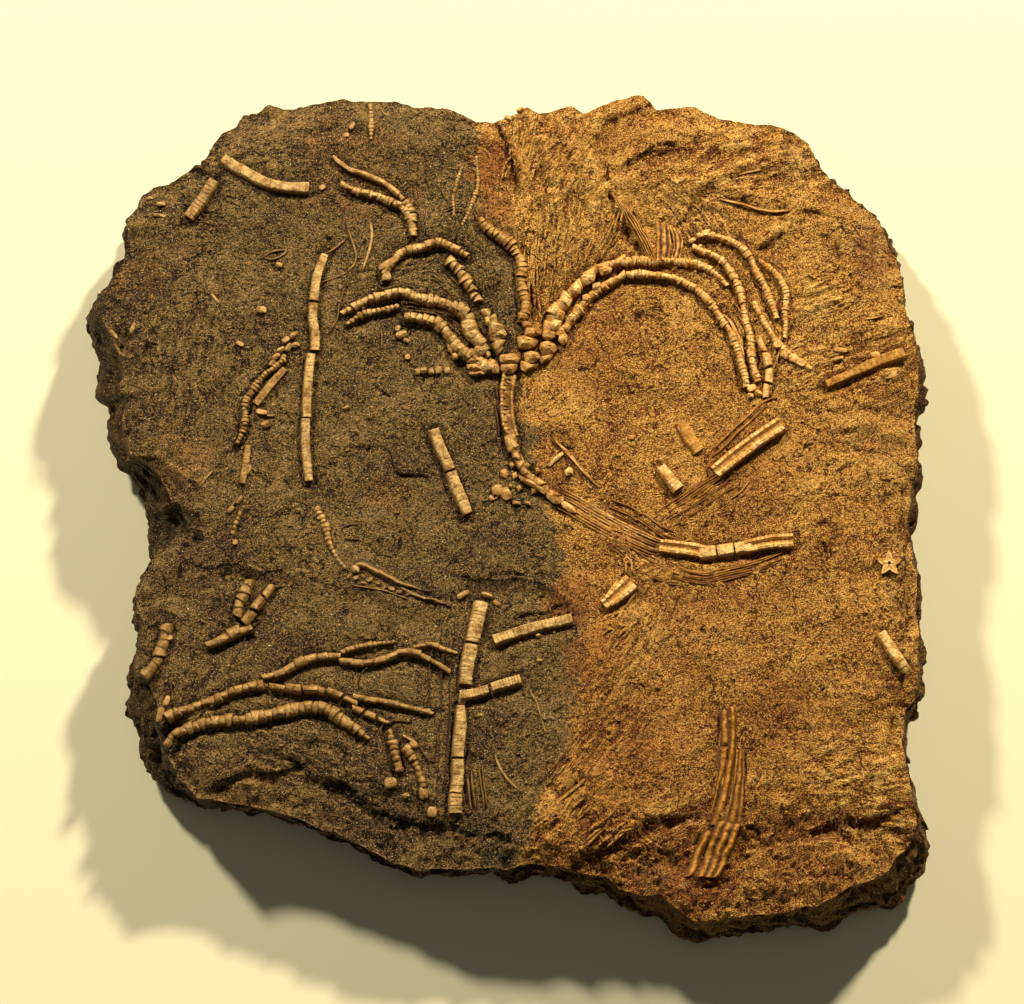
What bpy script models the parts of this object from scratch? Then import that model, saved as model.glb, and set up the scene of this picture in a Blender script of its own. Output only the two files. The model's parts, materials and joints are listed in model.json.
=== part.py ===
"""Fossil crinoids on a slab of shale that lies face up, modelled in metres with +Z up.

The origin is the middle of the slab's bounding box, on its flat back. Every route below is in millimetres.
"""

import math

import bmesh
import bpy
from mathutils import Vector, noise
from mathutils.bvhtree import BVHTree

MM = 0.001
SEED = 7

SLAB_THICKNESS = 38.0  # the flat back to the mean level of the bedding plane
SLAB_CELLS = 34  # cells along each side of the bedding plane
RIM_CORNERS = (0, 23, 44, 64)  # entries of RIM that the corners of the cell grid take
UNDULATIONS = [(60.0, 1.0), (25.0, 0.5)]  # width and height of the bedding plane's gentle waves
EDGE_ROLL = 3.0  # how far the bedding plane rolls down at its lip
ROLL_START = 0.9  # where it begins to, as a share of the way from the middle to the lip
BLOCK_DROP = 2.2  # how much lower the lower left block stands
STEP_SLOPE = 12.0  # width of the slope that leads down to it
SHELL_GAP = 0.4  # clear space between a fossil and the shale under it
BEAD_PINCH = 0.8  # width of an arm at a joint, as a share of its width at an ossicle
OSSICLE_SWELL = 0.45  # where an ossicle is widest, as a share of its length
STATION = 6.0  # spacing of the sections along a smooth piece
FINE_STEPS = 20  # points read from a route's smooth line between two of its own points
SIDE_LEVELS = (0.82, 0.6, 0.36, 0.16, 0.0)  # rings down the broken side, as shares of its height
SIDE_LEDGE = 1.2  # how far a bed stands out of the side, or back from it
SIDE_BEDS = 2.7  # how many beds the side shows from the back to the lip
SIDE_ROUGHNESS = 1.4
BELLY = 0.3  # the level where the side reaches out to the rim
FOOT_INSET = 3.5  # how far the back lies inside the rim
WELD = 0.0001
SHARP_ANGLE = math.radians(35.0)

# The rim going round clockwise from the upper left: x, y, and how far the lip of the bedding plane lies
# inside it.
RIM = [
    (-120, 154, 3), (-110.5, 160.5, 2), (-108, 166, 2), (-101.5, 166.5, 2), (-97, 169.5, 2),
    (-91.5, 168, 2), (-67, 172, 2), (-44.5, 171.5, 2), (-37.5, 168.5, 2), (-24, 168, 2),
    (-6, 163, 2), (0, 164, 2), (9, 169, 2), (14.5, 166, 2), (28, 169.5, 2), (33.5, 166.5, 2),
    (53, 173.5, 2), (57.5, 173.5, 2), (63, 168, 2), (79, 169, 2), (88.5, 164, 2), (119.5, 158.5, 2),
    (125.5, 154.5, 2.5), (136.5, 138.5, 4), (151.5, 127, 4.5), (157, 120.5, 4.5), (162, 106.5, 3.5),
    (163.5, 86.5, 3), (171, 61.5, 4), (171.5, 51.5, 5), (171.5, 46, 5), (168, 43.5, 3),
    (169.5, 18, 4), (169, 12.5, 4), (166, 7.5, 3), (164.5, -7.5, 3), (169, -55, 4),
    (166.5, -79.5, 3), (162, -84.5, 2.5), (159.5, -97.5, 2.5), (169.5, -132.5, 8),
    (169.5, -138.5, 9), (164.5, -147, 9), (160.5, -148.5, 8), (159, -154, 9), (155, -158, 10),
    (143, -161, 8), (127.5, -168, 7), (113.5, -166.5, 2), (76.5, -173, 4), (67.5, -170, 10),
    (61.5, -163, 5.5), (50, -161, 4), (41, -153.5, 3), (30.5, -151.5, 2.5), (18, -145, -1),
    (2.5, -148, 0), (-5, -145.5, -2), (-33, -145.5, -2.5), (-45, -141.5, -2.5),
    (-61.5, -132.5, -2.5), (-86, -124, -2), (-104, -119.5, -2), (-122, -119.5, 0),
    (-132.5, -114, 5), (-139.5, -107, 7.5), (-153, -79.5, 13), (-151, -68, 4.5), (-147, -49, 3),
    (-149.5, -45, 3), (-149.5, -34, 2.5), (-142.5, -20.5, 3), (-143, -10.5, 15), (-147, 13, 8),
    (-152.5, 20, 6), (-155.5, 21, 5.5), (-160, 30, 7), (-162, 37, 8), (-160.5, 46, 8.5), (-165.5, 52, 11),
    (-165.5, 65.5, 12), (-171.5, 81.5, 9.5), (-168.5, 90.5, 8), (-154.5, 108, 3.5),
    (-155.5, 120.5, 3), (-150, 132, 3), (-138.5, 137, 3), (-128, 145, 3), (-125, 144.5, 3),
]

# The relief of the bedding plane: centre x, y, half length, half width, turn in degrees, height.
SWELLS = [
    (58, 42, 85, 75, 0, -2.0),
    (20, 138, 34, 40, 80, 1.4),
    (94, 137, 40, 10, 17, 2.0),
    (118, 118, 34, 11, 18, 1.4),
    (150, 112, 26, 30, 60, -1.6),
    (-95, 60, 70, 50, 70, 1.2),
    (-30, 30, 60, 40, 30, -1.2),
    (120, -60, 60, 90, 80, 1.4),
    (20, -110, 70, 26, 35, -1.4),
    (60, -146, 34, 12, 8, -3.0),
    (142, -134, 26, 10, -8, -3.2),
    (108, -137, 14, 9, 15, -2.0),
    (-60, -118, 50, 12, -20, -1.8),
]

# The step down to the lower left block runs along these points.
BLOCK_STEP = [(-150, -20), (-105, -28), (-45, -29), (-10, -27), (20, -36), (24, -50)]

# Cross-sections of unit width, from the left foot over the top to the right foot.
SECTIONS = {
    "round": [(-0.5, 0), (-0.37, 0.33), (0, 0.46), (0.37, 0.33), (0.5, 0)],
    "flat": [(-0.5, 0), (-0.44, 0.36), (0.44, 0.36), (0.5, 0)],
    "grooved": [
        (-0.5, 0), (-0.42, 0.36), (-0.14, 0.44), (0, 0.28), (0.14, 0.44), (0.42, 0.36), (0.5, 0)],
    "strands": [
        (-0.5, 0), (-0.4, 0.2), (-0.28, 0.1), (-0.14, 0.27), (0, 0.15), (0.14, 0.27), (0.28, 0.12),
        (0.4, 0.22), (0.5, 0)],
}

# Each fossil: cross-section, rise as a share of that section's height, ossicle length or 0, and its route as
# x, y, width.
LEFT_FOSSILS = {
    "arm_left_lower": ("round", 1.0, 4.0, [
        (-3.5, 56, 4.0), (-9, 57, 5.6), (-14, 60.5, 6.0), (-19, 65, 5.2), (-22.5, 70, 5.2),
        (-27, 74.5, 4.8), (-34, 76.5, 4.4), (-39.5, 77, 4.0)]),
    "arm_left_middle": ("round", 1.0, 4.6, [
        (-7, 61.5, 3.6), (-9, 65, 5.6), (-13.5, 71.5, 6.4), (-14.5, 77, 5.2), (-19.5, 81, 4.8),
        (-27, 83.5, 4.8), (-34, 85, 4.4), (-42, 87.5, 4.0), (-50.5, 85.5, 3.6), (-58.5, 82.5, 3.2),
        (-64.5, 79, 2.8)]),
    "arm_left_branch": ("round", 1.0, 0, [
        (-43.5, 81.5, 3.0), (-48, 80.5, 3.0), (-53.5, 79, 3.0), (-58.5, 77, 2.8), (-63, 74.5, 2.4)]),
    "arm_left_stub": ("round", 1.0, 4.0, [
        (-2, 64.5, 3.6), (-3, 68.5, 5.2), (-3, 72.5, 5.2), (-5.5, 76.5, 4.0), (-7.5, 79, 3.2)]),
    "arm_left_ascending": ("round", 1.0, 4.2, [
        (-22, 100.5, 4.4), (-19, 97.5, 5.2), (-16, 92.5, 5.2), (-13.5, 88.5, 4.8), (-11, 85, 4.0)]),
    "arm_left_cross": ("round", 1.0, 4.2, [
        (-48.5, 93.5, 2.8), (-48.5, 96.5, 3.2), (-45.5, 100.5, 3.6), (-41.5, 104.5, 4.4),
        (-34, 106.5, 4.4), (-27, 108.5, 4.0), (-21, 106.5, 3.6), (-15.5, 103.5, 3.2)]),
    "arm_far_thin": ("round", 1.0, 0, [
        (-69, 144, 2.0), (-62.5, 139, 2.8), (-57, 137.5, 2.8), (-51.5, 135, 2.8),
        (-47.5, 132.5, 2.8), (-43.5, 129.5, 2.6), (-42, 128, 2.2)]),
    "arm_far_beaded": ("round", 1.0, 3.6, [
        (-66, 133, 3.2), (-61.5, 130.5, 3.4), (-57, 129.5, 3.4), (-51.5, 128, 3.4), (-47, 126, 3.4),
        (-42, 124, 3.4), (-38.5, 120.5, 3.8), (-37.5, 116.5, 3.6), (-37, 112.5, 3.4)]),
    "bar_bent": ("flat", 1.0, 0, [
        (-114, 143.5, 4.4), (-110, 140.5, 4.8), (-105.5, 138, 4.8), (-97, 133.5, 4.8),
        (-88.5, 131.5, 4.8), (-80, 131, 4.8)]),
    "bar_rusty": ("round", 0.8, 0, [(-127.5, 119.5, 4.8), (-122.5, 126.5, 5.2), (-118, 134, 4.8)]),
    "long_stem_left_upper": ("flat", 1.0, 0, [
        (-73, 102.5, 3.6), (-76, 93, 4.0), (-77.5, 78, 4.0), (-76.5, 70, 4.0), (-76.5, 63.5, 4.0)]),
    "long_stem_left_middle": ("flat", 1.0, 0, [
        (-78, 60.5, 4.0), (-79, 51.5, 4.0), (-79.5, 42.5, 4.0), (-79.5, 35.5, 4.0)]),
    "long_stem_left_lower": ("flat", 0.9, 0, [
        (-80, 33.5, 4.0), (-80, 26, 4.0), (-79.5, 18.5, 4.0), (-78.5, 9.5, 3.6)]),
    "beaded_arm_left_upper": ("round", 0.9, 3.4, [
        (-89, 58.5, 2.8), (-97.5, 51.5, 2.8), (-102.5, 44.5, 3.2), (-104.5, 38.5, 3.2),
        (-104.5, 31, 2.8), (-107, 25, 2.0)]),
    "stem_piece_middle": ("flat", 1.0, 0, [
        (-28.5, 29.5, 4.8), (-25.5, 21.5, 4.8), (-22.5, 15, 4.8), (-20, 7.5, 5.2), (-17.5, 1.5, 5.2),
        (-15, -4, 4.4)]),
    "wedge_plate": ("round", 0.8, 0, [
        (-61, -25.5, 4.0), (-55, -25.5, 5.6), (-47.5, -30, 5.6), (-39.5, -34.5, 4.0), (-29, -37, 2.0)]),
    "ribbed_arm_left": ("round", 1.0, 3.0, [
        (-102.5, -33, 4.6), (-104, -37, 4.8), (-105.5, -41.5, 4.8), (-106.5, -45.5, 4.4)]),
    "smooth_arm_left": ("round", 1.0, 0, [(-94, -36, 3.6), (-98.5, -42, 4.0), (-102, -47, 4.2)]),
    "forked_ossicle_left": ("round", 1.0, 4.0, [
        (-103, -52.5, 3.6), (-107, -53, 5.0), (-111.5, -55.5, 4.4), (-116, -58, 3.6)]),
    "ribbed_arm_edge": ("round", 1.0, 3.4, [
        (-134.5, -51, 5.2), (-135.5, -56.5, 4.8), (-137, -62.5, 4.8), (-139, -66, 4.8),
        (-142, -70, 5.6)]),
    "branch_arm_stem": ("round", 1.0, 4.2, [
        (-132.5, -87.5, 5.6), (-128, -85, 4.8), (-123, -83.5, 4.0), (-117.5, -81.5, 3.6),
        (-111.5, -79, 3.6), (-107.5, -77, 4.0), (-101.5, -75.5, 4.4), (-96.5, -74.5, 4.0)]),
    "branch_arm_upper": ("round", 1.0, 4.8, [
        (-94, -71, 3.2), (-86.5, -69, 3.6), (-83, -66, 3.6), (-77.5, -64, 4.0), (-72.5, -63, 3.6),
        (-67.5, -63, 3.4)]),
    "branch_arm_upper_a": ("round", 1.0, 0, [
        (-63.5, -61, 2.4), (-60.5, -59.5, 2.8), (-56, -58.5, 2.8), (-50.5, -57.5, 2.4),
        (-44.5, -57, 2.0)]),
    "branch_arm_upper_b": ("round", 1.0, 0, [
        (-63.5, -65, 3.0), (-57.5, -65.5, 3.2), (-52, -65, 3.2), (-45.5, -63, 3.2), (-39.5, -61, 3.2),
        (-34.5, -62, 3.2), (-29, -64.5, 2.8), (-23.5, -68, 2.4)]),
    "branch_arm_lower": ("round", 1.0, 0, [
        (-90.5, -75.5, 3.6), (-83.5, -76, 3.6), (-74, -76.5, 3.6), (-66, -78.5, 3.6), (-61, -81, 3.2)]),
    "branch_arm_lower_a": ("round", 1.0, 0, [
        (-57.5, -79.5, 2.6), (-49.5, -81, 2.8), (-40, -83, 2.8), (-30.5, -85.5, 2.0)]),
    "branch_arm_lower_b": ("round", 1.0, 0, [(-58, -84.5, 3.0), (-54, -86.5, 3.0), (-48, -89, 2.4)]),
    "thick_arm": ("round", 1.0, 4.4, [
        (-133, -98, 3.2), (-131, -94.5, 4.0), (-124.5, -92, 4.4), (-118, -90, 4.4),
        (-110.5, -89, 4.8), (-103, -88.5, 4.8), (-94.5, -87, 4.4), (-86, -85, 4.8),
        (-77.5, -83.5, 5.6), (-70.5, -84.5, 5.6), (-64.5, -88.5, 5.0), (-58.5, -92.5, 4.0),
        (-54.5, -95.5, 2.4)]),
    "spiral_arm": ("round", 1.0, 3.0, [
        (-45.5, -93.5, 3.2), (-44, -98, 3.6), (-43, -102.5, 4.0), (-41.5, -108.5, 3.2)]),
    "low_stem_upper": ("flat", 0.9, 0, [
        (-9.5, -41.5, 6.2), (-11.5, -50.5, 6.0), (-13.5, -59.5, 6.0), (-15, -67, 5.6),
        (-15.5, -73.5, 5.2)]),
    "low_stem_lower": ("flat", 0.9, 0, [
        (-17.5, -83.5, 3.6), (-17.5, -91, 5.2), (-18.5, -101, 5.2), (-18.5, -111, 5.2),
        (-19.5, -121, 5.6), (-19.5, -125.5, 5.6)]),
    "crossing_bar": ("flat", 1.0, 0, [
        (-17, -79, 4.6), (-13, -78.5, 4.4), (-7.5, -77, 4.4), (-1, -75, 4.4), (6, -73, 4.4)]),
    "short_bar": ("flat", 1.0, 0, [
        (-3.5, -56.5, 4.8), (3.5, -54, 4.8), (10, -52, 4.8), (17.5, -50, 4.8), (26.5, -48, 4.8)]),
}

MIDDLE_FOSSILS = {
    "cup": ("round", 0.9, 4.6, [(2.5, 63, 7.6), (2.5, 59, 8.2), (2.5, 54.5, 7.0)]),
    "stem_upper": ("round", 0.9, 0, [
        (2, 52, 5.6), (1, 46.5, 5.6), (1, 40.5, 5.6), (1.5, 34, 5.6), (3.2, 28, 4.8)]),
    "stem_bend": ("round", 0.9, 4.4, [
        (4, 26, 5.6), (5, 19, 6.0), (8.5, 13.5, 5.2), (13, 8.5, 4.4), (18, 5, 4.4), (22, 1.5, 4.0)]),
    "arm_centre": ("round", 1.0, 3.6, [
        (-9.5, 117.5, 4.8), (-3.5, 112.5, 5.2), (1.5, 109, 4.8), (4.5, 104.5, 4.8), (6.5, 100.5, 4.8),
        (7, 90.5, 4.8), (8.5, 82, 4.8), (7.5, 76, 4.0)]),
}

RIGHT_FOSSILS = {
    "cirri_bundle": ("strands", 0.8, 0, [
        (23.5, 0, 6.0), (30.5, -3, 8.0), (38, -6.5, 9.6), (46, -10.5, 10.4), (54, -14.5, 10.0),
        (59.5, -17.3, 8.4)]),
    "stem_right_near": ("grooved", 0.8, 0, [(62.8, -18, 5.2), (71.5, -19, 5.6), (80, -20.5, 5.6)]),
    "stem_right_middle": ("round", 0.8, 0, [(81.2, -21, 5.6), (89, -20, 5.6), (95.5, -19, 5.2)]),
    "stem_right_end": ("grooved", 0.8, 0, [(97, -18.3, 5.2), (106, -16.5, 5.6), (114.5, -16, 6.0)]),
    "brachial_right_big": ("round", 1.0, 4.6, [(4.8, 68, 4.4), (9, 69, 6.8), (13.5, 70, 4.6)]),
    "brachial_right_low": ("round", 0.9, 4.6, [(10.5, 61.5, 3.6), (14.5, 62.5, 4.8), (18.5, 65, 4.2)]),
    "arm_right_outer": ("round", 1.0, 4.2, [
        (18.3, 73.5, 4.0), (21, 79.5, 4.6), (24.5, 84.5, 4.8), (28.5, 89.5, 4.6), (33, 93.8, 4.4),
        (40.5, 98, 4.0), (47.5, 101, 4.0), (55, 101, 3.6), (61, 100.5, 3.4), (68, 101, 3.4),
        (75, 99.5, 3.4), (81, 98, 3.2), (86.5, 94.5, 3.0), (90, 91, 2.6)]),
    "arm_right_inner_near": ("round", 1.0, 4.2, [
        (23, 70.5, 4.0), (27, 76.5, 4.2), (31, 82, 4.2), (34.5, 86.2, 4.2), (39.2, 90, 4.0),
        (43.5, 92.5, 3.6), (48, 94.5, 3.0)]),
    "arm_right_inner_far": ("round", 1.0, 0, [
        (50, 95.2, 3.4), (57, 95.5, 3.4), (65, 94.5, 3.4), (72, 92.3, 3.4), (78, 88.5, 3.4),
        (83.5, 83, 3.4), (87.5, 77.5, 3.4), (91, 71.5, 3.4), (93.5, 64.5, 3.4), (95.5, 57, 3.4),
        (97, 49, 3.4)]),
    "arm_tip_middle": ("round", 1.0, 0, [
        (76.5, 106.5, 3.2), (81.5, 104.5, 3.4), (87, 101.5, 3.4), (90.8, 97.8, 3.2),
        (93.8, 92.5, 3.2), (95.7, 86.5, 3.2), (97.5, 78, 3.0), (99, 69.5, 3.0), (99.5, 60, 3.0),
        (101.5, 51, 3.0)]),
    "arm_tip_outer": ("round", 1.0, 0, [
        (78.5, 111.5, 2.8), (84, 111.5, 2.8), (90.5, 109.5, 2.8), (95.5, 106.5, 2.8),
        (99.5, 102, 2.8), (102.5, 96.5, 3.0), (105.5, 90, 3.0), (107.5, 84, 3.0), (109.5, 77.5, 2.8)]),
    "arm_tip_fold": ("round", 1.0, 0, [
        (104.5, 100.5, 2.4), (109.5, 96, 2.8), (113, 90.5, 3.0), (114.2, 85.5, 2.8), (113.8, 80.5, 2.8),
        (113.5, 75, 2.4), (113, 69.5, 2.2)]),
    "arm_tip_smooth": ("round", 1.0, 0, [
        (104, 65.5, 3.2), (106, 59, 4.0), (107, 53, 4.0), (105.5, 46.5, 3.6)]),
    "striated_plate": ("strands", 0.7, 0, [
        (56.5, 128.5, 2.4), (60.5, 121.5, 7.2), (64, 114.5, 11.0), (65.5, 107.5, 10.0),
        (65.5, 105.5, 9.0)]),
    "double_ridge_bar": ("grooved", 0.9, 0, [
        (85, 13, 6.0), (93, 19.5, 6.4), (101.5, 26, 6.4), (110.5, 32, 6.4)]),
    "right_block": ("flat", 0.9, 0, [(63, 14, 4.4), (66, 10, 4.8), (69, 6, 5.2)]),
    "bar_right_edge": ("round", 0.8, 0, [
        (131, 49.5, 3.6), (141, 54, 4.0), (151.5, 58.5, 4.8), (160, 61.5, 5.2)]),
    "bar_right_low": ("flat", 1.0, 0, [(150, -55, 4.4), (154.5, -62, 4.8), (158.5, -68, 4.4)]),
    "round_fragment": ("round", 0.7, 0, [(40.5, -41.5, 4.0), (44.5, -38.5, 6.0), (50, -33.5, 7.2)]),
    "long_stem_right": ("grooved", 0.5, 0, [
        (90.5, -84, 4.0), (90.5, -97, 6.4), (89, -111, 7.2), (86.5, -124.5, 8.0), (83.5, -136.5, 9.6),
        (80.5, -147, 10.4)]),
}

STAR_PLACE = (153.5, -25.5)
STAR_RADIUS = 4.9
STAR_LOBES = 5
STAR_WAVE = 0.16  # how deep the bays between the lobes are, as a share of the radius
STAR_THICKNESS = 1.4

# Colour, roughness and metallic value of each material.
FINISHES = {
    "shale": ((0.19, 0.125, 0.055), 0.92, 0.0),
    "tan calcite": ((0.56, 0.37, 0.19), 0.7, 0.0),
    "bright calcite": ((0.66, 0.47, 0.24), 0.62, 0.0),
    "golden calcite": ((0.5, 0.29, 0.1), 0.72, 0.0),
}


def clear_scene():
    for obj in list(bpy.data.objects):
        bpy.data.objects.remove(obj, do_unlink=True)


def collection_of(name):
    made = bpy.data.collections.new(name)
    bpy.context.scene.collection.children.link(made)
    return made


def material_of(name):
    colour, roughness, metallic = FINISHES[name]
    material = bpy.data.materials.new(name)
    material.use_nodes = True
    shader = material.node_tree.nodes["Principled BSDF"]
    shader.inputs["Base Color"].default_value = (*colour, 1.0)
    shader.inputs["Roughness"].default_value = roughness
    shader.inputs["Metallic"].default_value = metallic
    return material


def ease(value, low, high):
    share = min(1.0, max(0.0, (value - low) / (high - low)))
    return share * share * (3.0 - 2.0 * share)


def wobble(x, y, scale, layer):
    """Smooth noise from -1 to 1 whose swells are about scale millimetres across."""
    return noise.noise(Vector((x / scale, y / scale, SEED + 3.7 * layer)))


def block_share(x, y):
    """1 on the lower left block, 0 beyond its step, with a slope between them."""
    if x > BLOCK_STEP[-1][0]:
        return 0.0
    edge = BLOCK_STEP[0][1]
    for (x0, y0), (x1, y1) in zip(BLOCK_STEP, BLOCK_STEP[1:]):
        if x0 <= x <= x1:
            edge = y0 + (y1 - y0) * (x - x0) / (x1 - x0)
    along_top = ease(edge - y, -STEP_SLOPE / 2.0, STEP_SLOPE / 2.0)
    return along_top * ease(BLOCK_STEP[-1][0] - x, 0.0, STEP_SLOPE)


def bedding_height(x, y, share):
    """Height of the bedding plane; share runs from 0 in the middle to 1 at the lip."""
    height = SLAB_THICKNESS
    for layer, (width, rise) in enumerate(UNDULATIONS):
        height += rise * wobble(x, y, width, layer)
    for centre_x, centre_y, half_length, half_width, turn, rise in SWELLS:
        angle = math.radians(turn)
        along = (x - centre_x) * math.cos(angle) + (y - centre_y) * math.sin(angle)
        across = (y - centre_y) * math.cos(angle) - (x - centre_x) * math.sin(angle)
        distance = (along / half_length) ** 2 + (across / half_width) ** 2
        height += rise * math.exp(-1.5 * distance)
    return height - BLOCK_DROP * block_share(x, y) - EDGE_ROLL * ease(share, ROLL_START, 1.0)


def rim_samples():
    """Points of the rim, SLAB_CELLS to each side of the grid, from the upper left corner clockwise."""
    samples = []
    corners = [*RIM_CORNERS, RIM_CORNERS[0] + len(RIM)]
    for first, last in zip(corners, corners[1:]):
        stretch = [RIM[i % len(RIM)] for i in range(first, last + 1)]
        lengths = [math.dist(a[:2], b[:2]) for a, b in zip(stretch, stretch[1:])]
        for step in range(SLAB_CELLS):
            reach = sum(lengths) * step / SLAB_CELLS
            index = 0
            while reach > lengths[index]:
                reach -= lengths[index]
                index += 1
            share = reach / lengths[index]
            samples.append([a + (b - a) * share for a, b in zip(stretch[index], stretch[index + 1])])
    return samples


def pulled_in(x, y, inset):
    share = 1.0 - inset / math.hypot(x, y)
    return x * share, y * share


def rim_place(u, v):
    """How far round the rim, in samples, the direction (u, v) of a grid that runs from -1 to 1 points."""
    reach = max(abs(u), abs(v))
    column = (u / reach + 1.0) / 2.0 * SLAB_CELLS
    row = (v / reach + 1.0) / 2.0 * SLAB_CELLS
    if abs(v) >= abs(u):
        return column if v > 0 else 3 * SLAB_CELLS - column
    return 2 * SLAB_CELLS - row if u > 0 else 3 * SLAB_CELLS + row


def lip_point(samples, place):
    first = samples[int(place) % len(samples)]
    second = samples[(int(place) + 1) % len(samples)]
    share = place - int(place)
    x, y, inset = (a + (b - a) * share for a, b in zip(first, second))
    return pulled_in(x, y, inset)


def side_ring(samples, level):
    """The slab's broken side at one level: 1 is the lip and 0 is the back."""
    ring = []
    ledge = SIDE_LEDGE * math.sin(2.0 * math.pi * SIDE_BEDS * level)
    for x, y, inset in samples:
        cut = inset * ease(level, BELLY, 1.0) + FOOT_INSET * ease(BELLY - level, 0.0, BELLY)
        cut += ledge + SIDE_ROUGHNESS * abs(wobble(x, y, 14.0, 5 + 4 * level))
        ring.append((*pulled_in(x, y, cut), level * (SLAB_THICKNESS - EDGE_ROLL)))
    return ring


def slab_shape():
    """A grid stretched over the rim, its border extruded down the broken side, and a flat back."""
    samples = rim_samples()
    shape = bmesh.new()
    bmesh.ops.create_grid(shape, x_segments=SLAB_CELLS, y_segments=SLAB_CELLS, size=1.0)
    place_of = shape.verts.layers.int.new("place")
    for vert in shape.verts:
        u, v = vert.co.x, vert.co.y
        share = max(abs(u), abs(v))
        if share > 0.001:
            place = rim_place(u, v)
            vert[place_of] = round(place) % len(samples)
            x, y = lip_point(samples, place)
            vert.co.x, vert.co.y = x * share, y * share
        vert.co.z = bedding_height(vert.co.x, vert.co.y, share)
    border = [edge for edge in shape.edges if edge.is_boundary]
    for level in SIDE_LEVELS:
        ring = side_ring(samples, level)
        made = bmesh.ops.extrude_edge_only(shape, edges=border)["geom"]
        border = [item for item in made if isinstance(item, bmesh.types.BMEdge) and item.is_boundary]
        for vert in made:
            if isinstance(vert, bmesh.types.BMVert):
                vert.co = ring[vert[place_of]]
    bmesh.ops.holes_fill(shape, edges=border)
    bmesh.ops.triangulate(shape, faces=shape.faces)
    bmesh.ops.recalc_face_normals(shape, faces=shape.faces)
    centre_on_origin(shape)
    return shape


def centre_on_origin(shape):
    for axis in (0, 1):
        places = [vert.co[axis] for vert in shape.verts]
        middle = (min(places) + max(places)) / 2.0
        for vert in shape.verts:
            vert.co[axis] -= middle


def object_of(name, shape, material, collection):
    """A mesh object in metres from a shape in millimetres."""
    bmesh.ops.scale(shape, vec=(MM, MM, MM), verts=shape.verts)
    mesh = bpy.data.meshes.new(name)
    shape.to_mesh(mesh)
    shape.free()
    mesh.materials.append(material)
    mesh.shade_smooth()
    mesh.set_sharp_from_angle(angle=SHARP_ANGLE)
    obj = bpy.data.objects.new(name, mesh)
    collection.objects.link(obj)
    return obj


def smooth_point(route, place):
    """A point of the smooth line through the route's points, and the width there."""
    index = min(int(place), len(route) - 2)
    t = place - index
    before, here, after, beyond = (
        Vector(route[min(max(index + k, 0), len(route) - 1)]) for k in (-1, 0, 1, 2)
    )
    return 0.5 * (
        2.0 * here + (after - before) * t
        + (2.0 * before - 5.0 * here + 4.0 * after - beyond) * t * t
        + (3.0 * here - before - 3.0 * after + beyond) * t ** 3
    )


def stations_of(route, ossicle):
    """Sections along the route: two for each ossicle, pinched at its joint, or evenly spaced."""
    fine_count = FINE_STEPS * (len(route) - 1)
    dense = [smooth_point(route, k / FINE_STEPS) for k in range(fine_count + 1)]
    reach = [0.0]
    for a, b in zip(dense, dense[1:]):
        reach.append(reach[-1] + (b.xy - a.xy).length)
    count = max(2, round(reach[-1] / (ossicle or STATION)))
    shares = [k / count for k in range(count + 1)]
    if ossicle:
        shares = sorted(shares + [(k + OSSICLE_SWELL) / count for k in range(count)])
    stations = []
    for number, share in enumerate(shares):
        index = min(range(len(dense)), key=lambda k: abs(reach[k] - share * reach[-1]))
        x, y, width = dense[index]
        pinch = BEAD_PINCH if ossicle and number % 2 == 0 else 1.0
        stations.append((x, y, width * pinch))
    return stations


def closed_shape(curve_data):
    """The closed mesh that Blender makes of a curve, its caps welded to its sides."""
    obj = bpy.data.objects.new(curve_data.name, curve_data)
    bpy.context.scene.collection.objects.link(obj)
    graph = bpy.context.evaluated_depsgraph_get()
    mesh = bpy.data.meshes.new_from_object(obj.evaluated_get(graph))
    shape = bmesh.new()
    shape.from_mesh(mesh)
    bpy.data.objects.remove(obj, do_unlink=True)
    bmesh.ops.remove_doubles(shape, verts=shape.verts, dist=WELD)
    bmesh.ops.triangulate(shape, faces=shape.faces)
    bmesh.ops.recalc_face_normals(shape, faces=shape.faces)
    return shape


def ridge_shape(profile, rise, stations):
    """A curve along the stations with the profile as its bevel, made a mesh that stands on z = 0."""
    data = bpy.data.curves.new("ridge", "CURVE")
    data.dimensions = "3D"
    data.twist_mode = "Z_UP"
    data.bevel_mode = "OBJECT"
    data.bevel_object = profile
    data.use_fill_caps = True
    spline = data.splines.new("POLY")
    spline.points.add(len(stations) - 1)
    for point, (x, y, width) in zip(spline.points, stations):
        point.co = (x, y, 0.0, 1.0)
        point.radius = width
    shape = closed_shape(data)
    bmesh.ops.scale(shape, vec=(1.0, 1.0, rise), verts=shape.verts)
    return shape


def profile_object(section, collection):
    """A cross-section as a closed curve, which a fossil's curve takes as its bevel."""
    data = bpy.data.curves.new("section", "CURVE")
    data.dimensions = "2D"
    spline = data.splines.new("POLY")
    spline.points.add(len(section) - 1)
    for point, (x, y) in zip(spline.points, section):
        point.co = (x, y, 0.0, 1.0)
    spline.use_cyclic_u = True
    obj = bpy.data.objects.new("section", data)
    obj.hide_render = True
    obj.display_type = "WIRE"
    collection.objects.link(obj)
    return obj


def laid_on(shape, ground):
    """Sinks or lifts each corner so that the piece lies on the shale with a thin clear gap."""
    for vert in shape.verts:
        above = Vector((vert.co.x, vert.co.y, 2.0 * SLAB_THICKNESS))
        hit = ground.ray_cast(above, Vector((0, 0, -1)))[0]
        vert.co.z += hit.z + SHELL_GAP
    return shape


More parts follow.
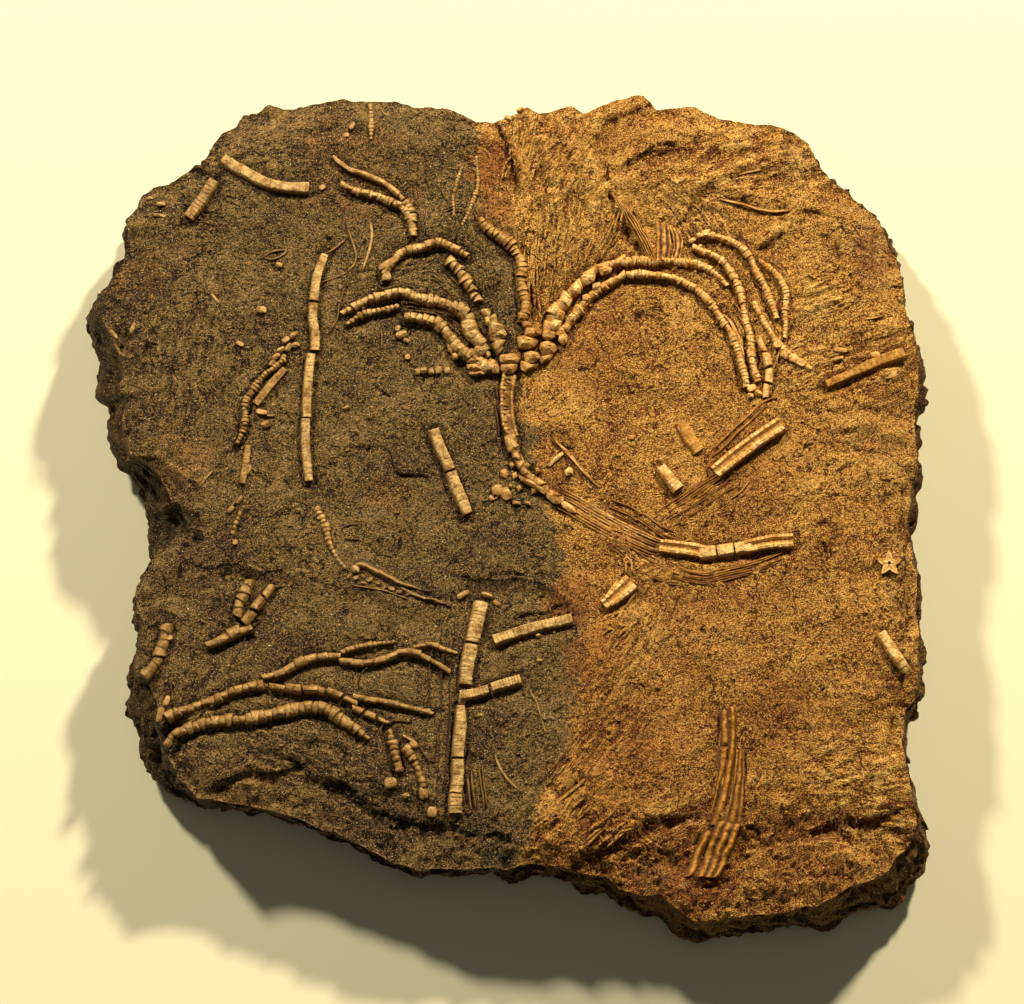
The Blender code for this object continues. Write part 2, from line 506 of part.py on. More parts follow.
def star_shape():
    """A flat outline with five lobes and its thickness by extrusion."""
    data = bpy.data.curves.new("star", "CURVE")
    data.dimensions = "2D"
    data.fill_mode = "BOTH"
    data.extrude = STAR_THICKNESS / 2.0
    spline = data.splines.new("POLY")
    count = 4 * STAR_LOBES
    spline.points.add(count - 1)
    for number, point in enumerate(spline.points):
        angle = 2.0 * math.pi * number / count
        radius = STAR_RADIUS * (1.0 + STAR_WAVE * (math.cos(STAR_LOBES * angle) - 1.0))
        x = STAR_PLACE[0] + radius * math.sin(angle)
        y = STAR_PLACE[1] + radius * math.cos(angle)
        point.co = (x, y, 0.0, 1.0)
    spline.use_cyclic_u = True
    shape = closed_shape(data)
    bmesh.ops.translate(shape, vec=(0, 0, STAR_THICKNESS / 2.0), verts=shape.verts)
    return shape


def make_part():
    clear_scene()
    parts = collection_of("crinoid fossil slab")
    helpers = collection_of("helpers")
    finishes = {name: material_of(name) for name in FINISHES}
    profiles = {name: profile_object(section, helpers) for name, section in SECTIONS.items()}
    slab = slab_shape()
    ground = BVHTree.FromBMesh(slab)
    for fossils, finish in (
        (LEFT_FOSSILS, "tan calcite"),
        (MIDDLE_FOSSILS, "bright calcite"),
        (RIGHT_FOSSILS, "golden calcite"),
    ):
        for name, (section, rise, ossicle, route) in fossils.items():
            ridge = ridge_shape(profiles[section], rise, stations_of(route, ossicle))
            object_of(name, laid_on(ridge, ground), finishes[finish], parts)
    object_of("star_columnal", laid_on(star_shape(), ground), finishes["bright calcite"], parts)
    object_of("matrix_slab", slab, finishes["shale"], parts)


make_part()
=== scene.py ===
import json
import math

import bmesh
import bpy
import numpy as np
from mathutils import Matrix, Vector, noise

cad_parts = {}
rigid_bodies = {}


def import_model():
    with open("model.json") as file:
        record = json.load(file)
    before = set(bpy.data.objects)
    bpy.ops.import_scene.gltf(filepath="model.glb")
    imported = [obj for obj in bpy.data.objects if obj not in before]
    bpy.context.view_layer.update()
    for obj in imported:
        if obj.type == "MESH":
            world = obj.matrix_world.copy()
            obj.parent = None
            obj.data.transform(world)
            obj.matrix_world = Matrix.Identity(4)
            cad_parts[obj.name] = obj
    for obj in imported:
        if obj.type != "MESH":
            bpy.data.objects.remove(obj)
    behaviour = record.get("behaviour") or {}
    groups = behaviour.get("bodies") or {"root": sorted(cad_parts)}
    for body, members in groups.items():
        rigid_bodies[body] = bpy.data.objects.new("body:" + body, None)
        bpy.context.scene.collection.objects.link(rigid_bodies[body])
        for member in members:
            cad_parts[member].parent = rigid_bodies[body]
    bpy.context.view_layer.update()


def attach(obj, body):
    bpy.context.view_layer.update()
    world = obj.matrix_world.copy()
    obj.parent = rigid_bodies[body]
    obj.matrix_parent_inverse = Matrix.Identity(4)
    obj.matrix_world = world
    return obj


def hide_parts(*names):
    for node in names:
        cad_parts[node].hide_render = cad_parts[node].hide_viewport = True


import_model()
frameNodes = ("cup", "brachial_right_big", "brachial_right_low")

# A broken slab of shale with sea lilies on its bedding plane. Lengths and places below are in millimetres.
mm = 0.001


# ---- shared helpers ----
def linear(hexColour):
    # sRGB hex to linear colour
    parts = [int(hexColour[k:k + 2], 16) / 255.0 for k in (1, 3, 5)]
    return tuple(p / 12.92 if p <= 0.04045 else ((p + 0.055) / 1.055) ** 2.4 for p in parts) + (1.0,)


def addNode(tree, kind, settings=None, links=None):
    node = tree.nodes.new(kind)
    for key, value in (settings or {}).items():
        if isinstance(key, str) and key in node.bl_rna.properties:
            setattr(node, key, value)
        else:
            node.inputs[key].default_value = value
    for key, source in (links or {}).items():
        tree.links.new(source, node.inputs[key])
    return node


def maths(tree, operation, *values):
    node = addNode(tree, "ShaderNodeMath", {"operation": operation})
    for index, value in enumerate(values):
        if isinstance(value, bpy.types.NodeSocket):
            tree.links.new(value, node.inputs[index])
        else:
            node.inputs[index].default_value = value
    return node.outputs[0]


def ease(value, low, high):
    share = np.clip((value - low) / (high - low), 0.0, 1.0)
    return share * share * (3.0 - 2.0 * share)


noiseTurns = np.random.default_rng(11).uniform(0.0, 2.0 * math.pi, (256, 256))


def waves(x, y, size, layer=0):
    # smooth noise from -1 to 1 whose swells are about size millimetres across
    x, y = x / size + 31.7 * layer, y / size + 17.3 * layer
    left, low = np.floor(x).astype(int), np.floor(y).astype(int)
    total = 0.0
    for across in (0, 1):
        for up in (0, 1):
            turn = noiseTurns[(left + across) & 255, (low + up) & 255]
            dx, dy = x - left - across, y - low - up
            ax, ay = np.abs(dx), np.abs(dy)
            pull = (1.0 - ax ** 3 * (6.0 * ax * ax - 15.0 * ax + 10.0))
            pull = pull * (1.0 - ay ** 3 * (6.0 * ay * ay - 15.0 * ay + 10.0))
            total = total + pull * (np.cos(turn) * dx + np.sin(turn) * dy)
    return 1.5 * total


def rough(x, y, size, layer=0, octaves=3):
    return sum(waves(x, y, size / 2 ** k, layer + k) / 1.8 ** k for k in range(octaves))


def streaks(x, y, turn, length, width, layer=0):
    # noise drawn out along a direction: grain, fibres and folds
    turn = math.radians(turn)
    along = x * math.cos(turn) + y * math.sin(turn)
    across = y * math.cos(turn) - x * math.sin(turn)
    bend = 0.35 * width * waves(x, y, 0.8 * length, layer + 3)
    return waves(along * width / length, across + bend, width, layer)


def flakes(x, y, size, layer=0):
    # broken edges of thin flakes: a slow rise, then a sudden drop
    rise = 3.0 * rough(x, y, size, layer, 3)
    share = rise - np.floor(rise)
    return share * (1.0 - ease(share, 0.82, 1.0)) - 0.4


def beside(x, y, line, margin):
    # for each point: its gap to the line, the side of it (1 on the right), and how far along it, from 0 to 1
    line = np.array([p[:2] for p in line], float)
    gap, side, along = np.full(x.shape, 1e6), np.zeros(x.shape), np.zeros(x.shape)
    low, high = line.min(0) - margin, line.max(0) + margin
    near = np.nonzero((x > low[0]) & (x < high[0]) & (y > low[1]) & (y < high[1]))
    px, py = x[near], y[near]
    best, bestSide, bestAlong = np.full(px.shape, 1e6), np.zeros(px.shape), np.zeros(px.shape)
    steps = np.hypot(*np.diff(line, axis=0).T)
    walked = 0.0
    for a, b, step in zip(line, line[1:], steps):
        dx, dy = (b - a) / step
        t = np.clip((px - a[0]) * dx + (py - a[1]) * dy, 0.0, step)
        gx, gy = px - a[0] - t * dx, py - a[1] - t * dy
        reach = np.hypot(gx, gy)
        nearer = reach < best
        best = np.where(nearer, reach, best)
        bestSide = np.where(nearer, np.sign(dy * gx - dx * gy), bestSide)
        bestAlong = np.where(nearer, (walked + t) / steps.sum(), bestAlong)
        walked += step
    gap[near], side[near], along[near] = best, bestSide, bestAlong
    return gap, side, along


# ---- camera, floor and light ----
view = {
    "target": (1.05, -5.35, 38.0),
    "distance": 2200.0,
    "tilt": 14.0,  # degrees from straight down
    "framedWidth": 1024 * 0.4,  # width of the picture on the bedding plane
    "shift": (0.0049, 0.0132),
}


def placeCamera():
    tilt = math.radians(view["tilt"])
    target = Vector(view["target"]) * mm
    away = Vector((0.0, -math.sin(tilt), math.cos(tilt)))
    data = bpy.data.cameras.new("camera")
    data.sensor_width = 36.0
    data.lens = data.sensor_width * view["distance"] / view["framedWidth"]
    data.shift_x, data.shift_y = view["shift"]
    data.clip_end = 20.0
    camera = bpy.data.objects.new("camera", data)
    camera.location = target + away * view["distance"] * mm
    camera.rotation_euler = (-away).to_track_quat("-Z", "Y").to_euler()
    bpy.context.scene.collection.objects.link(camera)
    bpy.context.scene.camera = camera


floorLook = {"colour": "#FBF6D6", "size": 9000.0}

studio = {
    "keys": [  # place, width, watts, colour: two softened spots above the slab's upper corners
        ((850.0, 1550.0, 1150.0), 170.0, 54.0, "#FFF1CF"),
        ((-1000.0, 1350.0, 1200.0), 200.0, 37.0, "#FFF3D6"),
    ],
    "fill": ((0.0, -600.0, 2300.0), 1800.0, 1.6, "#FFF6E2"),
    "sky": "#FFF8E6",
    "skyStrength": 0.06,
}


def lightFrom(name, place, width, watts, colour):
    data = bpy.data.lights.new(name, "AREA")
    data.shape = "DISK"
    data.size = width * mm
    data.energy = watts
    data.color = linear(colour)[:3]
    light = bpy.data.objects.new(name, data)
    light.location = Vector(place) * mm
    light.rotation_euler = (-light.location).to_track_quat("-Z", "Y").to_euler()
    bpy.context.scene.collection.objects.link(light)


def makeStage():
    size = floorLook["size"] * mm
    mesh = bpy.data.meshes.new("floor")
    mesh.from_pydata([(-size, -size, 0), (size, -size, 0), (size, size, 0), (-size, size, 0)], [], [(0, 1, 2, 3)])
    floor = bpy.data.objects.new("floor", mesh)
    bpy.context.scene.collection.objects.link(floor)
    material = bpy.data.materials.new("painted plaster board")  # pale, dead matt
    material.use_nodes = True
    shader = material.node_tree.nodes["Principled BSDF"]
    shader.inputs["Base Color"].default_value = linear(floorLook["colour"])
    shader.inputs["Roughness"].default_value = 0.9
    shader.inputs["Specular IOR Level"].default_value = 0.1
    mesh.materials.append(material)
    for number, key in enumerate(studio["keys"]):
        lightFrom(f"key_{number + 1}", *key)
    lightFrom("fill", *studio["fill"])
    world = bpy.data.worlds.new("studio")
    world.use_nodes = True
    background = world.node_tree.nodes["Background"]
    background.inputs["Color"].default_value = linear(studio["sky"])
    background.inputs["Strength"].default_value = studio["skyStrength"]
    bpy.context.scene.world = world
    bpy.context.scene.view_settings.view_transform = "Standard"


placeCamera()
makeStage()
print("camera, floor and lights are up")

# ---- fossils: what they are and where they lie ----
# Each: plate style, rise as a share of the width, plate length, and its route as x, y, width.
leftFossils = {
    "arm_left_lower": ("rib", 0.5, 2.3, [
        (-3.5, 56, 4.4), (-9, 57, 5.8), (-14, 60.5, 6.2), (-19, 65, 5.4), (-22.5, 70, 5.2),
        (-27, 74.5, 5.0), (-34, 76.5, 4.6), (-39.5, 77, 3.8)]),
    "arm_left_middle": ("rib", 0.52, 2.4, [
        (-7, 61.5, 3.8), (-9, 65, 5.8), (-13.5, 71.5, 6.6), (-14.5, 77, 5.6), (-19.5, 81, 5.2),
        (-27, 83.5, 5.2), (-34, 85, 5.0), (-42, 87.5, 4.6), (-50.5, 85.5, 4.0), (-58.5, 82.5, 3.4),
        (-64.5, 79, 2.8)]),
    "arm_left_branch": ("bead", 0.5, 1.8, [
        (-43.5, 81.5, 3.0), (-48, 80.5, 3.0), (-53.5, 79, 3.0), (-58.5, 77, 2.8), (-63, 74.5, 2.4)]),
    "arm_left_stub": ("wedge", 0.55, 3.6, [
        (-2, 64.5, 4.0), (-3, 68.5, 5.6), (-3, 72.5, 5.6), (-5.5, 76.5, 4.2), (-7.5, 79, 3.2)]),
    "arm_left_ascending": ("wedge", 0.5, 2.3, [
        (-22, 100.5, 4.4), (-19, 97.5, 5.2), (-16, 92.5, 5.4), (-13.5, 88.5, 4.8), (-11, 85, 4.0)]),
    "arm_left_cross": ("rib", 0.5, 2.0, [
        (-48.5, 93.5, 2.8), (-48.5, 96.5, 3.2), (-45.5, 100.5, 3.6), (-41.5, 104.5, 4.4),
        (-34, 106.5, 4.6), (-27, 108.5, 4.2), (-21, 106.5, 3.6), (-15.5, 103.5, 3.2)]),
    "arm_far_thin": ("smooth", 0.55, 2.6, [
        (-69, 144, 1.8), (-62.5, 139, 2.8), (-57, 137.5, 2.8), (-51.5, 135, 2.8),
        (-47.5, 132.5, 2.8), (-43.5, 129.5, 2.6), (-42, 128, 2.2)]),
    "arm_far_beaded": ("rib", 0.5, 1.7, [
        (-66, 133, 3.0), (-61.5, 130.5, 3.6), (-57, 129.5, 3.6), (-51.5, 128, 3.4), (-47, 126, 3.4),
        (-42, 124, 3.6), (-38.5, 120.5, 4.0), (-37.5, 116.5, 3.8), (-37, 112.5, 3.4)]),
    "bar_bent": ("columnal", 0.34, 1.3, [
        (-114, 143.5, 4.4), (-110, 140.5, 5.0), (-105.5, 138, 5.0), (-97, 133.5, 4.8),
        (-88.5, 131.5, 4.8), (-80, 131, 5.0)]),
    "bar_rusty": ("columnal", 0.32, 1.5, [(-127.5, 119.5, 4.8), (-122.5, 126.5, 5.2), (-118, 134, 4.8)]),
    "long_stem_left_upper": ("columnal", 0.42, 1.3, [
        (-73, 102.5, 3.6), (-76, 93, 4.0), (-77.5, 78, 4.0), (-76.5, 70, 4.0), (-76.5, 63.5, 4.0)]),
    "long_stem_left_middle": ("columnal", 0.42, 1.3, [
        (-78, 60.5, 4.0), (-79, 51.5, 4.0), (-79.5, 42.5, 4.0), (-79.5, 35.5, 4.0)]),
    "long_stem_left_lower": ("columnal", 0.38, 1.3, [
        (-80, 33.5, 4.0), (-80, 26, 4.0), (-79.5, 18.5, 4.0), (-78.5, 9.5, 3.6)]),
    "beaded_arm_left_upper": ("bead", 0.5, 1.5, [
        (-89, 58.5, 2.8), (-97.5, 51.5, 2.8), (-102.5, 44.5, 3.2), (-104.5, 38.5, 3.2),
        (-104.5, 31, 2.8), (-107, 25, 2.0)]),
    "stem_piece_middle": ("columnal", 0.4, 1.4, [
        (-28.5, 29.5, 4.8), (-25.5, 21.5, 4.8), (-22.5, 15, 4.8), (-20, 7.5, 5.2), (-17.5, 1.5, 5.2),
        (-15, -4, 4.4)]),
    "ribbed_arm_left": ("rib", 0.5, 2.9, [
        (-102.5, -33, 4.6), (-104, -37, 4.8), (-105.5, -41.5, 4.8), (-106.5, -45.5, 4.4)]),
    "smooth_arm_left": ("smooth", 0.5, 5.2, [(-94, -36, 3.6), (-98.5, -42, 4.2), (-102, -47, 4.4)]),
    "forked_ossicle_left": ("smooth", 0.5, 4.6, [
        (-103, -52.5, 3.8), (-107, -53, 5.0), (-111.5, -55.5, 4.6), (-116, -58, 3.8)]),
    "ribbed_arm_edge": ("rib", 0.45, 3.2, [
        (-134.5, -51, 5.2), (-135.5, -56.5, 4.8), (-137, -62.5, 4.8), (-139, -66, 4.8),
        (-142, -70, 5.6)]),
    "branch_arm_stem": ("rib", 0.48, 2.8, [
        (-132.5, -87.5, 5.2), (-128, -85, 4.6), (-123, -83.5, 4.0), (-117.5, -81.5, 3.6),
        (-111.5, -79, 3.8), (-107.5, -77, 4.2), (-101.5, -75.5, 4.6), (-96.5, -74.5, 4.2)]),
    "branch_arm_upper": ("smooth", 0.48, 4.2, [
        (-94, -71, 3.2), (-86.5, -69, 3.6), (-83, -66, 3.8), (-77.5, -64, 4.0), (-72.5, -63, 3.8),
        (-67.5, -63, 3.4)]),
    "branch_arm_upper_a": ("bead", 0.5, 1.8, [
        (-63.5, -61, 2.2), (-60.5, -59.5, 2.6), (-56, -58.5, 2.6), (-50.5, -57.5, 2.4),
        (-44.5, -57, 1.8)]),
    "branch_arm_upper_b": ("smooth", 0.55, 4.6, [
        (-63.5, -65, 3.0), (-57.5, -65.5, 3.2), (-52, -65, 3.2), (-45.5, -63, 3.2), (-39.5, -61, 3.4),
        (-34.5, -62, 3.2), (-29, -64.5, 2.8), (-23.5, -68, 2.2)]),
    "branch_arm_lower": ("smooth", 0.55, 5.4, [
        (-90.5, -75.5, 3.6), (-83.5, -76, 3.8), (-74, -76.5, 3.8), (-66, -78.5, 3.6), (-61, -81, 3.2)]),
    "branch_arm_lower_a": ("smooth", 0.5, 4.4, [
        (-57.5, -79.5, 2.6), (-49.5, -81, 2.8), (-40, -83, 2.6), (-30.5, -85.5, 1.8)]),
    "branch_arm_lower_b": ("smooth", 0.5, 4.0, [(-58, -84.5, 3.0), (-54, -86.5, 3.0), (-48, -89, 2.2)]),
    "thick_arm": ("rib", 0.44, 2.6, [
        (-133, -98, 3.0), (-131, -94.5, 4.0), (-124.5, -92, 4.6), (-118, -90, 4.6),
        (-110.5, -89, 4.8), (-103, -88.5, 4.8), (-94.5, -87, 4.8), (-86, -85, 5.2),
        (-77.5, -83.5, 6.0), (-70.5, -84.5, 6.0), (-64.5, -88.5, 5.2), (-58.5, -92.5, 4.0),
        (-54.5, -95.5, 2.2)]),
    "spiral_arm": ("bead", 0.5, 2.2, [
        (-45.5, -93.5, 3.2), (-44, -98, 3.8), (-43, -102.5, 4.0), (-41.5, -108.5, 3.2)]),
    "low_stem_upper": ("columnal", 0.34, 1.3, [
        (-9.5, -41.5, 6.2), (-11.5, -50.5, 6.0), (-13.5, -59.5, 6.0), (-15, -67, 5.6),
        (-15.5, -73.5, 5.2)]),
    "low_stem_lower": ("columnal", 0.36, 1.3, [
        (-17.5, -83.5, 3.6), (-17.5, -91, 5.2), (-18.5, -101, 5.2), (-18.5, -111, 5.2),
        (-19.5, -121, 5.6), (-19.5, -125.5, 5.6)]),
    "crossing_bar": ("columnal", 0.46, 1.1, [
        (-17, -79, 4.6), (-13, -78.5, 4.4), (-7.5, -77, 4.4), (-1, -75, 4.4), (6, -73, 4.4)]),
    "short_bar": ("columnal", 0.42, 1.4, [
        (-3.5, -56.5, 4.8), (3.5, -54, 4.8), (10, -52, 4.8), (17.5, -50, 4.8), (26.5, -48, 4.8)]),
}

middleFossils = {
    "stem_upper": ("channel", 0.36, 1.6, [
        (2, 52.4, 5.8), (1, 46.5, 5.6), (1, 40.5, 5.6), (1.5, 34, 5.6), (3.2, 28, 4.8)]),
    "stem_bend": ("wedge", 0.5, 3.4, [
        (3.4, 27, 4.8), (4.6, 20, 4.2), (8, 14, 3.6), (13, 8.5, 3.2), (18, 5, 3.2), (22, 1.5, 2.8)]),
    "arm_centre": ("rib", 0.5, 1.9, [
        (-9.5, 117.5, 4.4), (-3.5, 112.5, 5.2), (1.5, 109, 5.2), (4.5, 104.5, 5.0), (6.5, 100.5, 5.0),
        (7, 90.5, 5.0), (8.5, 82, 4.8), (7.5, 76, 4.2)]),
}

rightFossils = {
    "stem_right_near": ("grooved", 0.36, 1.5, [(62.8, -18, 5.4), (71.5, -19, 5.8), (80, -20.5, 5.6)]),
    "stem_right_middle": ("columnal", 0.34, 6.0, [(81.2, -21, 5.6), (89, -20, 5.6), (95.5, -19, 5.4)]),
    "stem_right_end": ("grooved", 0.4, 1.5, [(97, -18.3, 5.4), (106, -16.5, 5.8), (114.5, -16, 6.2)]),
    "arm_right_outer": ("wedge", 0.5, 3.4, [
        (18.3, 73.5, 4.8), (21, 79.5, 5.2), (24.5, 84.5, 5.4), (28.5, 89.5, 5.2), (33, 93.8, 4.8),
        (36.5, 97.3, 4.6), (40.5, 98.6, 4.2), (47.5, 101, 3.8)]),
    "arm_right_inner_near": ("wedge", 0.46, 2.8, [
        (23, 70.5, 4.4), (27, 76.5, 4.4), (31, 82, 4.4), (34.5, 86.2, 4.2), (39.2, 90, 4.0), (43.5, 92.5, 3.8),
        (48, 94.5, 3.4)]),
    "arm_right_inner_far": ("rib", 0.5, 1.5, [
        (50, 95.2, 3.4), (57, 95.5, 3.6), (65, 94.5, 3.6), (72, 92.3, 3.6), (78, 88.5, 3.6),
        (83.5, 83, 3.6), (87.5, 77.5, 3.4), (91, 71.5, 3.4), (93.5, 64.5, 3.4), (95.5, 57, 3.2),
        (97, 49, 2.8)]),
    "arm_tip_middle": ("rib", 0.5, 1.5, [
        (76.5, 106.5, 3.2), (81.5, 104.5, 3.6), (87, 101.5, 3.6), (90.8, 97.8, 3.4),
        (93.8, 92.5, 3.4), (95.7, 86.5, 3.2), (97.5, 78, 3.2), (99, 69.5, 3.2), (99.5, 60, 3.0),
        (101.5, 51, 2.8)]),
    "arm_tip_outer": ("rib", 0.5, 1.4, [
        (78.5, 111.5, 2.8), (84, 111.5, 3.0), (90.5, 109.5, 3.2), (95.5, 106.5, 3.2),
        (99.5, 102, 3.2), (102.5, 96.5, 3.2), (105.5, 90, 3.0), (107.5, 84, 3.0), (109.5, 77.5, 2.6)]),
    "arm_tip_fold": ("rib", 0.5, 1.4, [
        (104.5, 100.5, 2.4), (109.5, 96, 2.8), (113, 90.5, 3.0), (114.2, 85.5, 3.0), (113.8, 80.5, 2.8),
        (113.5, 75, 2.4), (113, 69.5, 2.0)]),
    "arm_tip_smooth": ("smooth", 0.4, 5.0, [
        (104, 65.5, 3.0), (106, 59, 3.8), (107, 53, 4.0), (105.5, 46.5, 3.2)]),
    "double_ridge_bar": ("grooved", 0.44, 1.5, [
        (85, 13, 6.0), (93, 19.5, 6.4), (101.5, 26, 6.4), (110.5, 32, 6.4)]),
    "right_block": ("columnal", 0.42, 1.5, [(63, 14, 4.6), (66, 10, 5.0), (69, 6, 5.2)]),
    "bar_right_edge": ("columnal", 0.36, 2.4, [
        (131, 49.5, 3.4), (141, 54, 4.0), (151.5, 58.5, 4.8), (160, 61.5, 5.2)]),
    "bar_right_low": ("columnal", 0.42, 2.2, [(150, -55, 4.6), (154.5, -62, 4.8), (158.5, -68, 4.6)]),
    "round_fragment": ("grooved", 0.34, 2.0, [(40.5, -41.5, 4.4), (44.5, -38.5, 6.4), (50, -33.5, 7.4)]),
}

# finer pieces that the solid leaves out, in the same form: x, y, width; the first word gives the calcite
looseArms = {
    "arm_far_root": ("tan", "bead", 0.45, 1.8, [(-40, 125.5, 3.6), (-38, 122, 4), (-37.5, 118.5, 3.6), (-37, 112.5, 3.2)]),
    "long_stem_left_tail": ("tan", "bead", 0.4, 1.8, [(-75, -3, 3.2), (-71.5, -9.5, 3.6), (-69.5, -17.5, 2.4), (-64, -26.5, 1.6)]),
    "beaded_arm_left_side": ("tan", "columnal", 0.44, 1.4, [(-88.8, 54.5, 3), (-93.5, 49, 3.6), (-99.5, 41, 3.2)]),
    "beaded_arm_left_lower": ("tan", "columnal", 0.46, 1.5, [(-103, 22.5, 2.6), (-103.8, 15.5, 3.2), (-105, 8.5, 3)]),
    "tail_bar_left": ("dull", "bead", 0.4, 1.7, [(-105.8, -4.5, 1.8), (-107.2, -8.5, 2.4), (-108.8, -12.5, 1.8)]),
    "bar_top": ("tan", "bead", 0.36, 1.5, [(-54.8, 166.5, 2.2), (-54.6, 160, 2.6), (-54.2, 153, 2)]),
    "top_pinnule_left": ("tan", "bead", 0.5, 1.2, [(-18, 140, 1.5), (-19.6, 133, 1.9), (-20.6, 127, 1.8), (-20.8, 121, 1.3)]),
    "top_pinnule_right": ("tan", "bead", 0.5, 1.2, [(-11.3, 144.5, 1.4), (-10.7, 137, 1.8), (-11.6, 130, 1.9), (-14, 122.5, 1.8), (-17, 116.5, 1.3)]),
    "branch_arm_upper_tip": ("tan", "smooth", 0.5, 2.4, [(-35, -59, 2), (-29.5, -57.5, 2.4), (-25, -59.5, 2.4), (-20, -61, 2)]),
    "spiral_arm_b": ("tan", "bead", 0.45, 2.2, [(-39, -100, 3.6), (-36.5, -104, 3.8), (-34, -109, 3.4), (-32, -115, 3)]),
    "arm_right_outer_far": ("golden", "rib", 0.5, 1.5, [
        (46.5, 100.8, 3.8), (55, 101, 3.6), (61, 100.5, 3.6), (68, 101, 3.4), (75, 99.5, 3.4), (81, 98, 3.2),
        (86.5, 94.5, 3.0), (90, 91, 2.4)]),
    "arm_tip_cross": ("golden", "rib", 0.45, 1.5, [
        (101, 83, 2.6), (103.5, 78, 2.8), (106.5, 72, 2.8), (109.5, 67, 3), (113.5, 62, 3.2), (119, 58.5, 3.4)]),
    "faint_block": ("weathered", "columnal", 0.25, 1.6, [(71, 33, 5), (73.5, 28, 5.6), (77.5, 22, 5.2)]),
}

